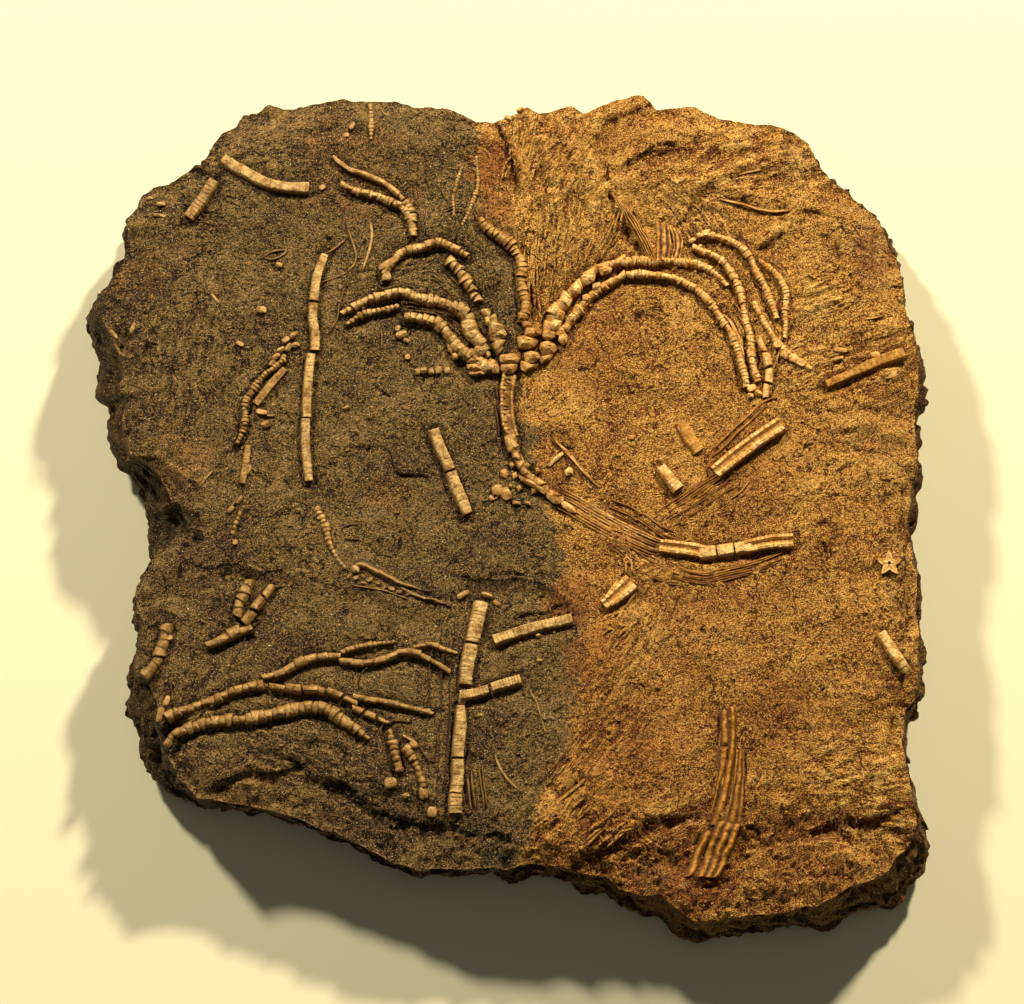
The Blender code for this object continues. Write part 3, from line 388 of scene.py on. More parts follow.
# threads, cirri and pinnules: calcite, strands side by side, radius, spread, line
strandSets = {
    "cirri_upper_left": ("tan", 1, 0.55, 1.2, [(-64, 117.5), (-61.5, 110.5), (-59.5, 103.5), (-60, 99), (-63.5, 95.5), (-68.5, 93), (-74.5, 90.5)]),
    "cirri_branch_left": ("tan", 1, 0.5, 1.2, [(-75.5, 103.5), (-70.5, 105.5), (-66.5, 108.5), (-64.5, 111)]),
    "long_pinnule_left": ("tan", 1, 0.45, 1.2, [(-63.5, 90.5), (-66, 82.5), (-67, 76), (-70.5, 69.5)]),
    "pinnule_beside_cross": ("tan", 1, 0.8, 1.2, [(-54, 119), (-53, 112), (-54, 105.5), (-56, 99), (-57, 96)]),
    "fine_arc_top_left": ("tan", 1, 0.35, 1.2, [(-102, 148.5), (-99.5, 147), (-97, 145.5)]),
    "fine_arc_top_left_b": ("tan", 1, 0.35, 1.2, [(-98.5, 143.5), (-95.5, 139.5), (-93, 136)]),
    "thread_middle": ("tan", 1, 0.35, 0.8, [(-49.5, -21), (-47, -21.5), (-44.5, -22)]),
    "thread_root": ("tan", 1, 0.3, 0.8, [(-65.5, -11.5), (-64.5, -9.5), (-61.5, -8.5), (-57.5, -8.5)]),
    "thread_root_b": ("tan", 1, 0.3, 0.8, [(-63.5, -14.5), (-61, -14.5), (-57.5, -14.5)]),
    "thread_root_c": ("tan", 1, 0.3, 0.8, [(-54.5, -44), (-53.5, -49), (-51.5, -53), (-49.5, -55.5)]),
    "stick_by_arm": ("tan", 1, 0.5, 0.8, [(-49.5, 73), (-49, 68.5), (-49, 63.5)]),
    "stick_left": ("tan", 1, 0.6, 0.8, [(-123, 6), (-120, 10), (-117, 13.5)]),
    "stick_left_b": ("tan", 2, 0.4, 1.6, [(-102, 15.5), (-100.5, 13.5), (-99, 11.5)]),
    "stub_left": ("tan", 1, 0.6, 1.2, [(-97.5, 37.5), (-95, 36.5), (-92, 36)]),
    "tail_left": ("tan", 2, 0.45, 2, [(-106, 4.5), (-108, 0.5), (-110.5, -3)]),
    "tail_left_b": ("tan", 2, 0.45, 1.6, [(-107, -7), (-108, -11), (-109, -14.5)]),
    "root_pale": ("tan", 1, 0.3, 0.8, [(-95, -42), (-96.5, -48), (-102, -54), (-104, -59.5), (-107.5, -64.5), (-109.5, -70.5), (-109.5, -75)]),
    "arc_low": ("tan", 1, 0.35, 0.8, [(-51, -96), (-48, -89.5), (-43.5, -88), (-36.5, -89)]),
    "arc_low_b": ("tan", 1, 0.3, 0.8, [(-58, -76.5), (-58.5, -72.5), (-56.5, -68.5), (-53.5, -66)]),
    "fork_tip_a": ("tan", 1, 0.55, 1.2, [(-36.5, -59.5), (-33.5, -57.5), (-29.5, -57), (-25.5, -59), (-21.5, -61)]),
    "fork_tip_b": ("tan", 1, 0.55, 1.2, [(-36.5, -62), (-29.5, -64.5), (-23.5, -68)]),
    "stick_low": ("tan", 1, 0.8, 1.6, [(-40, -93.5), (-36.5, -96), (-33.5, -99)]),
    "thread_low": ("tan", 1, 0.4, 0.8, [(-33.5, -99), (-29.5, -104), (-25.5, -105)]),
    "threads_beside_stem": ("tan", 3, 0.22, 12, [(-23, -45), (-25, -56.5), (-27, -66.5), (-27, -81), (-28.5, -97), (-31.5, -117)]),
    "threads_beside_stem_b": ("tan", 3, 0.22, 8, [(-21, -40), (-21.5, -56.5), (-23, -72.5), (-23, -89), (-24.5, -109), (-26, -127)]),
    "fibres_low": ("tan", 4, 0.5, 8, [(-12, -106), (-11.5, -113), (-10.5, -121), (-9.5, -128.5)]),
    "fibre_v": ("tan", 2, 0.5, 4.8, [(-2.5, -121), (-3.5, -125), (-5, -129)]),
    "curved_stick_a": ("tan", 1, 0.7, 1.2, [(-3, -102), (-1.5, -107), (1.5, -112), (7.5, -117.5)]),
    "curved_stick_b": ("tan", 1, 0.6, 1.2, [(10, -76), (13.5, -81), (14.5, -85.5), (16, -91), (17.5, -95)]),
    "curved_stick_c": ("tan", 1, 0.45, 0.8, [(8.5, -93), (11, -91), (13.5, -89)]),
    "thread_right_low": ("tan", 1, 0.4, 0.8, [(19, -85), (22.5, -83), (26, -81)]),
    "wedge_ridge": ("tan", 2, 0.6, 2, [(-45.5, -32), (-39.5, -36), (-32, -39), (-21.5, -41.5)]),
    "stem_side": ("bright", 1, 0.45, 1.2, [(-8, 47.5), (-5, 43.5), (-2.5, 37.5), (-2, 31.5), (-1.5, 27.5)]),
    "stem_side_b": ("bright", 1, 0.4, 0.8, [(-3, 48.5), (-2, 42.5), (-1, 36.5)]),
    "stem_keel": ("bright", 1, 0.7, 1.2, [(2.5, 32.5), (4.5, 27), (7.5, 19), (10.5, 12.5), (16.5, 6.5), (23, 2)]),
    "cirri_bundle": ("golden", 10, 0.5, 9, [(17.5, 4.5), (26.5, 0), (38, -7), (48, -12.5), (58, -17.5), (65.5, -20.5)]),
    "cirri_far": ("weathered", 5, 0.42, 7.6, [(36.5, 1), (44.5, -2.5), (54, -7), (63, -13.5), (74, -17.5)]),
    "cirri_lower": ("weathered", 6, 0.45, 6, [(54, -22), (64, -27), (78, -31), (88, -29.5), (102, -26), (114.5, -21)]),
    "cirri_low_group": ("weathered", 5, 0.42, 7, [(38, -10.5), (46, -17.5), (54, -24.5), (64, -30), (74, -32)]),
    "stem_lines": ("golden", 2, 0.55, 4.8, [(62.5, -18), (71.5, -20), (80.5, -20.5)]),
    "fibres_by_bar": ("weathered", 9, 0.4, 11, [(92.5, 12), (84.5, 7), (74.5, 0), (64, -7)]),
    "arcs_by_bar": ("golden", 3, 0.4, 4, [(99.5, 13.5), (99, 8.5), (96, 4.5), (90.5, 0)]),
    "faint_stem_right": ("weathered", 3, 0.6, 5.6, [(77, 15), (86.5, 24), (94.5, 32), (105, 41.5), (112, 43)]),
    "furrow_ridge": ("golden", 2, 0.6, 2.4, [(16, 32.5), (20.5, 26), (26.5, 19.5), (32.5, 12), (38.5, 6)]),
    "ridges_upper": ("golden", 2, 0.6, 2.4, [(80, 130.5), (85.5, 134), (93.5, 137), (99, 138.5), (110, 140)]),
    "ridges_upper_b": ("golden", 1, 0.7, 1.6, [(87.5, 127.5), (97.5, 125.5), (104.5, 123), (116, 122.5)]),
    "ridge_top": ("golden", 1, 0.6, 1.6, [(93.5, 137), (104, 140), (110, 143.5)]),
    "feather_a": ("golden", 7, 0.4, 16, [(119.5, 88.5), (125.5, 86.5), (133.5, 89.5), (141, 96)]),
    "feather_b": ("golden", 5, 0.4, 5.6, [(120.5, 79), (131.5, 82), (137.5, 84.5), (141, 85)]),
    "ridge_right": ("golden", 1, 0.6, 1.6, [(144.5, 77), (149.5, 78), (153.5, 79)]),
    "pinnules_a": ("golden", 7, 0.5, 9.6, [(10.5, 78.5), (9.5, 90.5), (10.5, 105.5), (12, 124.5)]),
    "pinnules_b": ("golden", 8, 0.5, 12, [(14.5, 84.5), (17, 97), (19.5, 110.5), (22.5, 128.5)]),
    "pinnules_c": ("golden", 8, 0.45, 13.6, [(21, 90.5), (25, 100.5), (30, 111.5), (35.5, 126.5)]),
    "pinnules_d": ("golden", 6, 0.45, 10.4, [(32.5, 98), (37, 106.5), (41, 114.5), (43.5, 124.5)]),
    "pinnules_top": ("golden", 6, 0.5, 12, [(3, 131), (6.5, 141.5), (9.5, 152), (10.5, 163)]),
    "pinnules_top_b": ("golden", 6, 0.5, 14.4, [(16.5, 131), (21, 143.5), (28.5, 152), (35, 160.5)]),
    "pinnules_tips": ("golden", 4, 0.4, 4.8, [(97, 63.5), (96, 72), (93, 79.5), (88.5, 85)]),
    "pinnules_tips_b": ("golden", 3, 0.4, 3.2, [(107, 51), (109.5, 59), (111, 67.5), (111.5, 77)]),
    "inner_tips": ("golden", 2, 0.7, 3.2, [(88, 79.5), (92, 74), (94.5, 67.5), (97, 59)]),
    "inner_tips_b": ("golden", 2, 0.65, 3.2, [(94.5, 88.5), (97, 80), (98.5, 69.5), (98.5, 59)]),
    "fragment_left": ("golden", 1, 0.8, 1.6, [(38, -41.5), (41.5, -36), (45, -30.5)]),
    "fragment_arc": ("golden", 1, 0.6, 1.2, [(45.5, -30.5), (48.5, -31), (52.5, -36)]),
    "fragment_right": ("golden", 2, 0.45, 2, [(53, -36), (49.5, -41), (47, -45)]),
    "fragment_above": ("golden", 3, 0.6, 5.6, [(49.5, -30.5), (49.5, -25.5), (50, -20.5)]),
    "fold_lines_a": ("golden", 4, 0.5, 10.4, [(22, -130), (26.5, -123.5), (34, -117), (40, -111.5)]),
    "fold_lines_b": ("golden", 4, 0.5, 9.6, [(32, -141), (39.5, -134), (49, -127)]),
    "fold_lines_c": ("golden", 4, 0.45, 8.8, [(38, -56.5), (45, -50.5), (51, -45)]),
    "fold_lines_d": ("golden", 3, 0.5, 8, [(20.5, -117), (24.5, -111), (30, -103)]),
    "flow_left_a": ("tan", 5, 0.38, 7.2, [(-26, 117.5), (-21.5, 121.5), (-15.5, 120.5), (-10.5, 113)]),
    "flow_left_b": ("tan", 5, 0.38, 6.4, [(-6.5, 100.5), (-6, 90.5), (-3.5, 80), (-2, 74)]),
    "flow_left_c": ("tan", 5, 0.38, 8, [(-42, 84.5), (-30, 82), (-20, 77.5), (-14, 72)]),
    "flow_left_d": ("tan", 4, 0.35, 7.2, [(-40, 92), (-30, 96), (-23.5, 93.5), (-17, 87.5)]),
    "flow_left_e": ("tan", 3, 0.35, 4.8, [(-32.5, 139.5), (-29.5, 132.5), (-26, 126.5), (-21.5, 120.5)]),
    "ring_rubble": ("bright", 1, 0.5, 1.2, [(-6.5, 4.5), (-5, 6.5), (-2, 6), (-2, 2.5), (-4, 1), (-6.5, 2.5)]),
    "lens_top": ("tan", 1, 0.5, 1.2, [(-99.5, 101.5), (-94, 105), (-88, 105.5), (-89, 102.5), (-94, 100.5), (-98.5, 101)]),
}

# ridged sheets between two edges: calcite, then height, ridges, how much of each end sinks away, edge, edge
sheetSets = {
    "striated_plate": ("golden", [
        (2.8, 4, 0.3, 0.0, [(43.6, 129.5), (48.2, 120.5), (53, 112), (59.3, 101)],
         [(48.5, 125), (54, 117.8), (58.8, 110), (62, 101)]),
        (3.4, 2, 0.06, 0.0, [(61.4, 117.4), (62, 109), (61.8, 100.8)], [(66.3, 117), (67.6, 109), (66.6, 100.8)]),
        (2.4, 2, 0.12, 0.0, [(66.8, 116), (68.6, 109), (67.4, 101)], [(70, 114.5), (72.5, 108.5), (70.8, 100.5)]),
    ]),
    "wedge_plate": ("dull", [
        (2.0, 1, 0.05, 0.5, [(-59.7, -23.9), (-56.5, -23), (-50.5, -26.3), (-43.7, -30.4), (-36.5, -33.7), (-29.3, -35.8)],
         [(-60.1, -27.2), (-56.1, -27.6), (-50.5, -30.9), (-44.9, -33.7), (-37.3, -35.4), (-29.3, -36.8)]),
        (1.2, 1, 0.3, 0.5, [(-32.9, -37.9), (-28.1, -39.1), (-21.7, -40.8)], [(-32.9, -39.5), (-27.7, -40.8), (-22.1, -42)]),
        (1.0, 1, 0.3, 0.4, [(-61.7, -32.9), (-53.7, -34.6), (-44.5, -36.6), (-35.3, -39.9)],
         [(-61.7, -34), (-53.7, -35.9), (-44.7, -38), (-35.9, -41)]),
    ]),
    "long_stem_right": ("weathered", [
        (2.2, 1, 0.03, 0.2, [(88, -83.4), (88.8, -92), (88.5, -100), (87.3, -110), (84.3, -121), (80.5, -131)],
         [(91.2, -83.4), (91.8, -92), (91.6, -100), (90.6, -110), (88, -121), (84.5, -131)]),
        (0.9, 1, 0.2, 0.1, [(85.4, -85), (85.7, -92), (85.4, -99)], [(88, -85), (88.8, -92), (88.5, -99)]),
        (1.5, 2, 0.02, 0.3, [(91.6, -100.6), (90.8, -112), (88.6, -122), (85.5, -133)],
         [(95, -101.2), (94.8, -113), (94, -124), (91.5, -135)]),
        (1.5, 1, 0.02, 0.3, [(84.3, -100.2), (84.4, -110), (83, -119), (79.5, -129)],
         [(88, -100.2), (87.2, -110), (84.3, -119), (81.3, -129)]),
        (2.6, 3, 0.15, 0.0, [(84, -129.5), (80.5, -138), (77.5, -147), (75.5, -152)],
         [(93, -130.5), (91, -139), (87.5, -147), (84.5, -152)]),
        (1.7, 1, 0.2, 0.0, [(79, -132), (75.5, -140), (72.5, -148), (70.8, -151.5)],
         [(82, -134), (78.8, -141), (76, -148), (74.5, -151.5)]),
    ]),
}

# loose plates: calcite, then x, y, length, width, turn, height of each
blockSets = {
    "hook_left": ("tan", [(-47, 99.5, 9.6, 3.2, 32, 2), (-47.5, 94.5, 4.8, 3.2, -66, 2)]),
    "far_stub": ("tan", [(-66, 141.5, 8, 2, -38, 1.4)]),
    "cluster_right": ("golden", [(99.5, 47.5, 4, 3.2, 20, 2), (102, 45.5, 3.6, 2.8, -30, 2), (99, 44.5, 2.8, 2.4, 0, 1.8)]),
    "lumps_right": ("golden", [(110, 65.5, 3.6, 2.8, 0, 1.8), (113, 61.5, 4, 3.2, -40, 2.2), (116.5, 59.5, 3.6, 2.8, -20, 1.8), (119.5, 58, 4.4, 3.2, -30, 2), (122.5, 56, 3.2, 2.8, -30, 1.6)]),
    "bits_top_left": ("tan", [(-139.5, 125.5, 4, 2, 4, 1.2), (-140, 120, 5.6, 1.6, -8, 1.2), (-144, 128, 3.2, 1.6, 10, 0.9), (-74, 131.5, 2.8, 2.4, 30, 1.4), (-91, 98.5, 2.8, 2.4, 0, 1.8), (-98, 79.5, 4.4, 3.2, 0, 2), (-117, 84.5, 5.6, 2, -50, 1.2), (-106.5, 65.5, 3.6, 2, -30, 1), (-157.5, 70, 4.8, 1.6, -48, 1.2), (-150, 72.5, 1.6, 5.6, -20, 1.2), (-62, 158, 3.6, 2, 60, 1.2), (-64.5, 154, 2.8, 2, 10, 1)]),
    "cluster_left": ("tan", [(-85, 69, 3.6, 2.4, 50, 1.8), (-88, 67, 3.6, 2.4, 40, 1.8), (-84, 65, 3.2, 2.4, 20, 1.6), (-87, 64, 4, 2.4, 60, 1.9), (-90, 63, 3.6, 2.4, 30, 1.6), (-92, 60, 4, 2.4, 45, 1.7), (-89, 59.5, 3.2, 2, 60, 1.4), (-93.5, 57.5, 3.2, 2.4, 50, 1.4), (-97.5, 37, 4.8, 2.4, -10, 1.4), (-96, 32, 3.6, 3.2, 20, 1.5), (-103, 13.5, 3.2, 4.8, -20, 1.3), (-107.5, -16.5, 2.4, 2.4, 0, 1.3), (-109.5, -3, 3.6, 2, 50, 1), (-106, 1, 4, 2, 60, 1)]),
    "scrap_left": ("tan", [(-41.5, 70, 4.8, 3.6, 20, 1.4), (-43, 72.5, 2.8, 2, 60, 1.2), (-39.5, 67.5, 2.8, 2, -20, 1.1), (-35, 54.5, 2.4, 2.8, 0, 1.5), (-32.5, 55, 2.8, 3.2, 0, 1.7), (-29.5, 54.5, 2.4, 2.8, 10, 1.6), (-26.5, 55, 2.8, 3.2, 0, 1.7), (-23, 55, 2.4, 2.8, 0, 1.4), (-39, 60.5, 2.4, 2.4, 0, 1.3), (-63.5, 39, 2.8, 2, 20, 1.2)]),
    "wedge_ball": ("tan", [(-59.5, -27.5, 3.6, 3.4, 0, 2.0)]),
    "wedge_rubble": ("dull", [(-59.3, -31, 2.4, 1.8, 20, 1.1), (-56.5, -30.3, 2.2, 1.6, -30, 1.0), (-53.7, -31.8, 2.6, 1.7, 40, 1.2), (-50.5, -33, 2.2, 1.8, 0, 1.0), (-48.1, -34.8, 2.4, 1.5, 60, 0.9), (-44.9, -35.5, 2.6, 1.6, -20, 1.0), (-41.7, -36.6, 2.2, 1.5, 10, 0.9), (-56.1, -33.2, 2.4, 1.6, -10, 0.9), (-62, -30.6, 2, 1.6, 50, 0.9), (-38.5, -37.6, 2, 1.4, 30, 0.8)]),
    "edge_plates": ("tan", [(-134.5, -51, 5.6, 2.4, -4, 1.6), (-134.5, -55, 5.2, 2.8, -6, 1.6), (-136, -58.5, 4.4, 2.8, -8, 1.6)]),
    "lumps_low": ("tan", [(-45, -114, 5.2, 4.4, 10, 2.4), (-32, -118, 3.6, 5.2, 8, 1.8), (-28.5, -125.5, 4, 4.4, -6, 1.8), (-39, -119, 3.2, 2.4, 30, 1.4), (-36, -98.5, 3.6, 2.4, -50, 1.4), (-37.5, -103.5, 3.2, 2.4, -40, 1.3)]),
    "bits_low": ("tan", [(13.5, -54.5, 2, 2, 0, 1), (14, -65, 2.4, 2.4, 0, 1.2), (-9.5, -87, 2.4, 2, 0, 1.1), (-16.5, -79.5, 3.2, 6.4, -8, 1.8), (-16.5, -37.5, 5.6, 2.4, 30, 1.2), (-7, -37.5, 4.8, 2.4, -20, 1.4), (-3, -41, 3.6, 2, -40, 1), (-31.5, -85, 4.8, 2, 10, 1.2), (-134, -81, 2.4, 4.8, -20, 1.6), (-136.5, -86.5, 2.8, 6.4, -12, 1.6)]),
    "bits_right": ("golden", [(149.5, 61.5, 4, 2.8, 10, 1.3), (135.5, 63.5, 5.6, 2, -8, 1), (134.5, 60, 4.8, 1.6, 20, 0.9), (155, 53, 6.4, 3.2, 6, 1), (65.5, 8.5, 3.2, 2.4, -40, 1), (45, -38, 2.4, 2.4, 0, 1.2), (71.5, 31, 4, 3.2, -40, 1.4), (76, 109.5, 3.2, 2, 30, 1.1), (81.5, 113, 3.6, 2, 20, 1.1), (79, 106.5, 3.2, 2, 50, 1.1), (51, 27.5, 2.4, 2, 0, 0.8), (6.5, 165, 3.2, 2.4, 30, 1.2), (1.5, 161.5, 3.2, 2, -20, 1)]),
}

# plates of the calyx and the arm roots: calcite, then height and outline of each
facetSets = {
    "cup": ("bright", [
        (3.4, [(-1.8, 61.3), (2.3, 61.9), (6.1, 61.7), (6.5, 59.7), (5.3, 57.7), (-1.3, 57.6), (-2.2, 59.3)]),
        (3.2, [(-1.5, 57.4), (2.1, 57.8), (5.4, 57.5), (4.9, 55.1), (3.3, 53.3), (-0.2, 53.2), (-1.6, 55.1)]),
    ]),
    "cup_left": ("bright", [
        (2.6, [(-7.8, 58.2), (-5.6, 59.9), (-3.4, 59.1), (-2.2, 56.6), (-2.2, 53.4), (-4.6, 53.6), (-6.6, 55.7), (-8.4, 56.4)]),
        (3.2, [(-15.7, 59.9), (-12, 60.7), (-8.8, 59.9), (-8.4, 58), (-11.8, 57.4), (-15, 57.8)]),
        (3, [(-15.4, 57.2), (-11.8, 57.6), (-8.8, 57.2), (-8.8, 54.9), (-12.2, 54.5), (-15, 55.3)]),
        (2.2, [(-14.8, 54.9), (-12, 54.3), (-8.6, 54.7), (-7.8, 53.2), (-11.4, 52.2), (-14.2, 53)]),
        (2.4, [(-21.4, 61.8), (-19.7, 62.2), (-18.3, 60.9), (-18.7, 59.3), (-20.5, 58.7), (-21.5, 60.1)]),
        (1.8, [(-23.5, 66), (-22.3, 66.2), (-20.5, 63.2), (-21.3, 61.6), (-22.7, 62.8)]),
    ]),
    "stub": ("tan", [
        (3.4, [(-12, 64.5), (-9.2, 66.2), (-6.8, 65.5), (-6.6, 63.2), (-8.8, 60.9), (-11.4, 60.5), (-12.8, 62.2)]),
        (3.4, [(-17.5, 73.7), (-14.9, 74.8), (-12.3, 73.7), (-10.6, 69.9), (-11.4, 66.8), (-14.3, 66.6), (-16.3, 69.5)]),
        (3.6, [(-6.2, 72), (-3.4, 73.3), (-0.4, 72.7), (1.1, 69.9), (0.2, 68.3), (-4.2, 67.8), (-5.8, 69.5)]),
        (3, [(-4.6, 67.2), (-2, 67.8), (0.6, 67.6), (-0.8, 64.9), (-2.6, 62.6), (-4, 63.7)]),
        (2.2, [(-8.2, 77.1), (-6.6, 77.5), (-5.2, 75.2), (-5.6, 73.1), (-7.4, 73.7)]),
    ]),
    "brachial_right_big": ("bright", [
        (3.8, [(8.3, 72.7), (11.5, 72.9), (15, 72), (15, 69.9), (11.3, 68.7), (8.1, 69.5)]),
        (4, [(4.9, 68.7), (7.9, 69.5), (11.5, 68.5), (13.9, 67.2), (12.3, 64.5), (8.3, 63.5), (5.7, 64.1)]),
    ]),
    "brachial_right_low": ("bright", [
        (3.2, [(15, 71.4), (18, 72.2), (20.6, 71.2), (20.4, 68.7), (17.6, 67.2), (15.4, 68.5)]),
        (3.8, [(14.5, 66.6), (17.6, 67.4), (20.2, 66.2), (21.6, 63.9), (20.2, 62.2), (15.5, 61.2), (14.1, 63.7)]),
        (3, [(7.5, 62.2), (10.7, 63.2), (13.9, 62.4), (14.5, 60.1), (11.7, 58), (8.5, 58.2)]),
        (3, [(13.9, 60.5), (17.4, 61.6), (20, 61.8), (18.4, 59.1), (14.9, 57.6)]),
        (2.6, [(6.3, 59.1), (8.5, 58.7), (11.1, 57.4), (13.9, 57.8), (12.7, 55.9), (8.3, 54.1), (6.5, 55.3)]),
    ]),
    "arm_root_bright": ("bright", [
        (3, [(5.3, 79), (8.3, 79.8), (9.5, 77.9), (8.3, 75.6), (5.7, 75.8)]),
        (2.6, [(6.9, 75.4), (9.5, 75.6), (11.3, 73.9), (10.3, 72.7), (7.5, 73.1)]),
    ]),
    "arm_root_golden": ("golden", [
        (3.6, [(18.8, 75.2), (20.6, 76.4), (23.4, 75.6), (22.4, 72.7), (20, 71.2), (18.4, 72.9)]),
        (3.6, [(19.6, 79.6), (22.4, 80.6), (24.6, 79), (23.6, 76), (20.2, 76.6)]),
        (3.4, [(23, 85.7), (25.3, 86.7), (27.5, 84.2), (26.1, 81.5), (23.4, 82.3), (22, 83.8)]),
        (3.4, [(26.9, 90.5), (28.9, 92.2), (31.3, 89.9), (30.7, 87.1), (28.3, 86.5), (26.5, 88.2)]),
        (3.2, [(30.9, 94.5), (33.8, 96), (37, 94.7), (36.2, 92.2), (33.4, 90.5), (31.3, 91.8)]),
        (3, [(37.8, 97.2), (40.7, 98.7), (43.7, 97.7), (42.9, 95.8), (39.4, 94.5)]),
        (2.8, [(22, 69.9), (24.4, 71), (25.6, 69.3), (25.2, 66.6), (23.6, 65.5), (21.8, 67.4)]),
        (2.8, [(23, 73.7), (25.6, 74.8), (26.8, 72.9), (25.6, 71), (23.4, 71.8)]),
        (2.8, [(25.5, 77.9), (27.5, 79.4), (29.3, 77.9), (28.5, 75.6), (26.2, 75.2)]),
        (2.6, [(28.5, 81.9), (30.7, 82.7), (31.9, 81.1), (30.7, 79.2), (28.9, 79.6)]),
        (2.6, [(31.5, 86.5), (33.8, 87.1), (35, 85.3), (33.5, 83.4), (31.7, 84.2)]),
        (2.6, [(35.6, 91.1), (38.6, 92.2), (39.4, 90.3), (37.6, 88.6), (35.6, 89)]),
    ]),
    "rubble": ("bright", [
        (1.2, [(-5.4, 6.2), (-3.4, 7.8), (-0.8, 7.4), (-0.4, 5), (-1.8, 2.8), (-4.6, 3.2)]),
        (1.4, [(-0.9, 6.2), (1.2, 6.8), (2.6, 4.4), (3.3, 2), (0.5, 0.7), (-1.5, 2.4)]),
        (1.0, [(3, 1), (6.8, 0.5), (6.4, -0.7), (3.4, -0.7)]),
        (1.0, [(-5.8, 3.4), (-4.4, 2.8), (-3.9, 1), (-5.5, 0.5), (-6.3, 2)]),
        (1.3, [(7.6, 1.2), (10.4, 0.5), (10.6, -1.1), (8, -0.5)]),
        (1.2, [(1.9, 8), (3.3, 7.6), (3.1, 6.1), (1.7, 6.3)]),
        (1.3, [(12.3, 14.4), (13.9, 14.8), (14.3, 12.7), (12.7, 11.9)]),
        (1.4, [(1.3, 16), (3.1, 17.1), (4.3, 15.4), (2.9, 14)]),
        (2.6, [(-0.2, 27.4), (2.2, 28.6), (4.6, 25.8), (6.4, 21.2), (4.8, 19.6), (1.6, 20.8), (0.4, 24)]),
        (1.1, [(-1.8, 13.4), (0.6, 14.2), (2, 11.8), (0.4, 9.8), (-1.6, 10.8)]),
        (1.0, [(2.8, 12), (4.8, 13), (5.4, 10.8), (3.6, 9.4)]),
        (1.4, [(7.4, 15.6), (9.2, 17), (10.6, 15.4), (9.4, 13.6)]),
        (1.3, [(10.6, 6), (12.6, 6.6), (13, 4.4), (11, 3.6)]),
        (1.2, [(4.4, 6.6), (6.2, 7.6), (7.2, 5.8), (5.6, 4.6)]),
    ]),
    "keel_bright": ("bright", [
        (2.2, [(5.3, 11.9), (8.3, 10.2), (12.3, 8.6), (17.3, 4.5), (16.1, 3.2), (11.3, 6.1), (6.5, 9)]),
        (2, [(16.7, 4.7), (19.5, 4), (22.2, 1.8), (22.2, -0.7), (19.4, -0.3), (16.8, 2.2)]),
    ]),
    "keel_golden": ("golden", [
        (1.8, [(22.2, 1), (25, 0.5), (28.2, -2.1), (28.8, -4.2), (26.2, -4), (23.2, -1.7)]),
    ]),
    "blob": ("golden", [
        (1.8, [(23.9, 13.1), (25.9, 15), (27.7, 13.8), (27.5, 11.9), (24.7, 11.1)]),
        (1.2, [(21.9, 20.6), (23.3, 21.4), (23.9, 20.2), (18.3, 15), (17.1, 15.8)]),
    ]),
}

# ---- the slab ----
slab = {
    "thickness": 38.0,  # the flat back to the mean level of the bedding plane
    "cells": 272,  # cells along each side of the face's grid
    "edgeRoll": 3.0,  # how far the face rolls down at its lip
    "rollStart": 0.93,
    "beds": 9,  # beds that the broken side shows
    "bedOut": 2.3,  # how far one bed stands out past the next
    "belly": 0.3,  # level where the side reaches the rim
    "footInset": 3.5,
    "hollows": 4.0,  # how deep pieces of a bed are broken away
    "grit": 0.26,
    "highest": 41.6,  # no crest of the face is higher
    "rimCorners": (0, 33, 60, 87),  # entries of the rim that take the corners of the grid
}

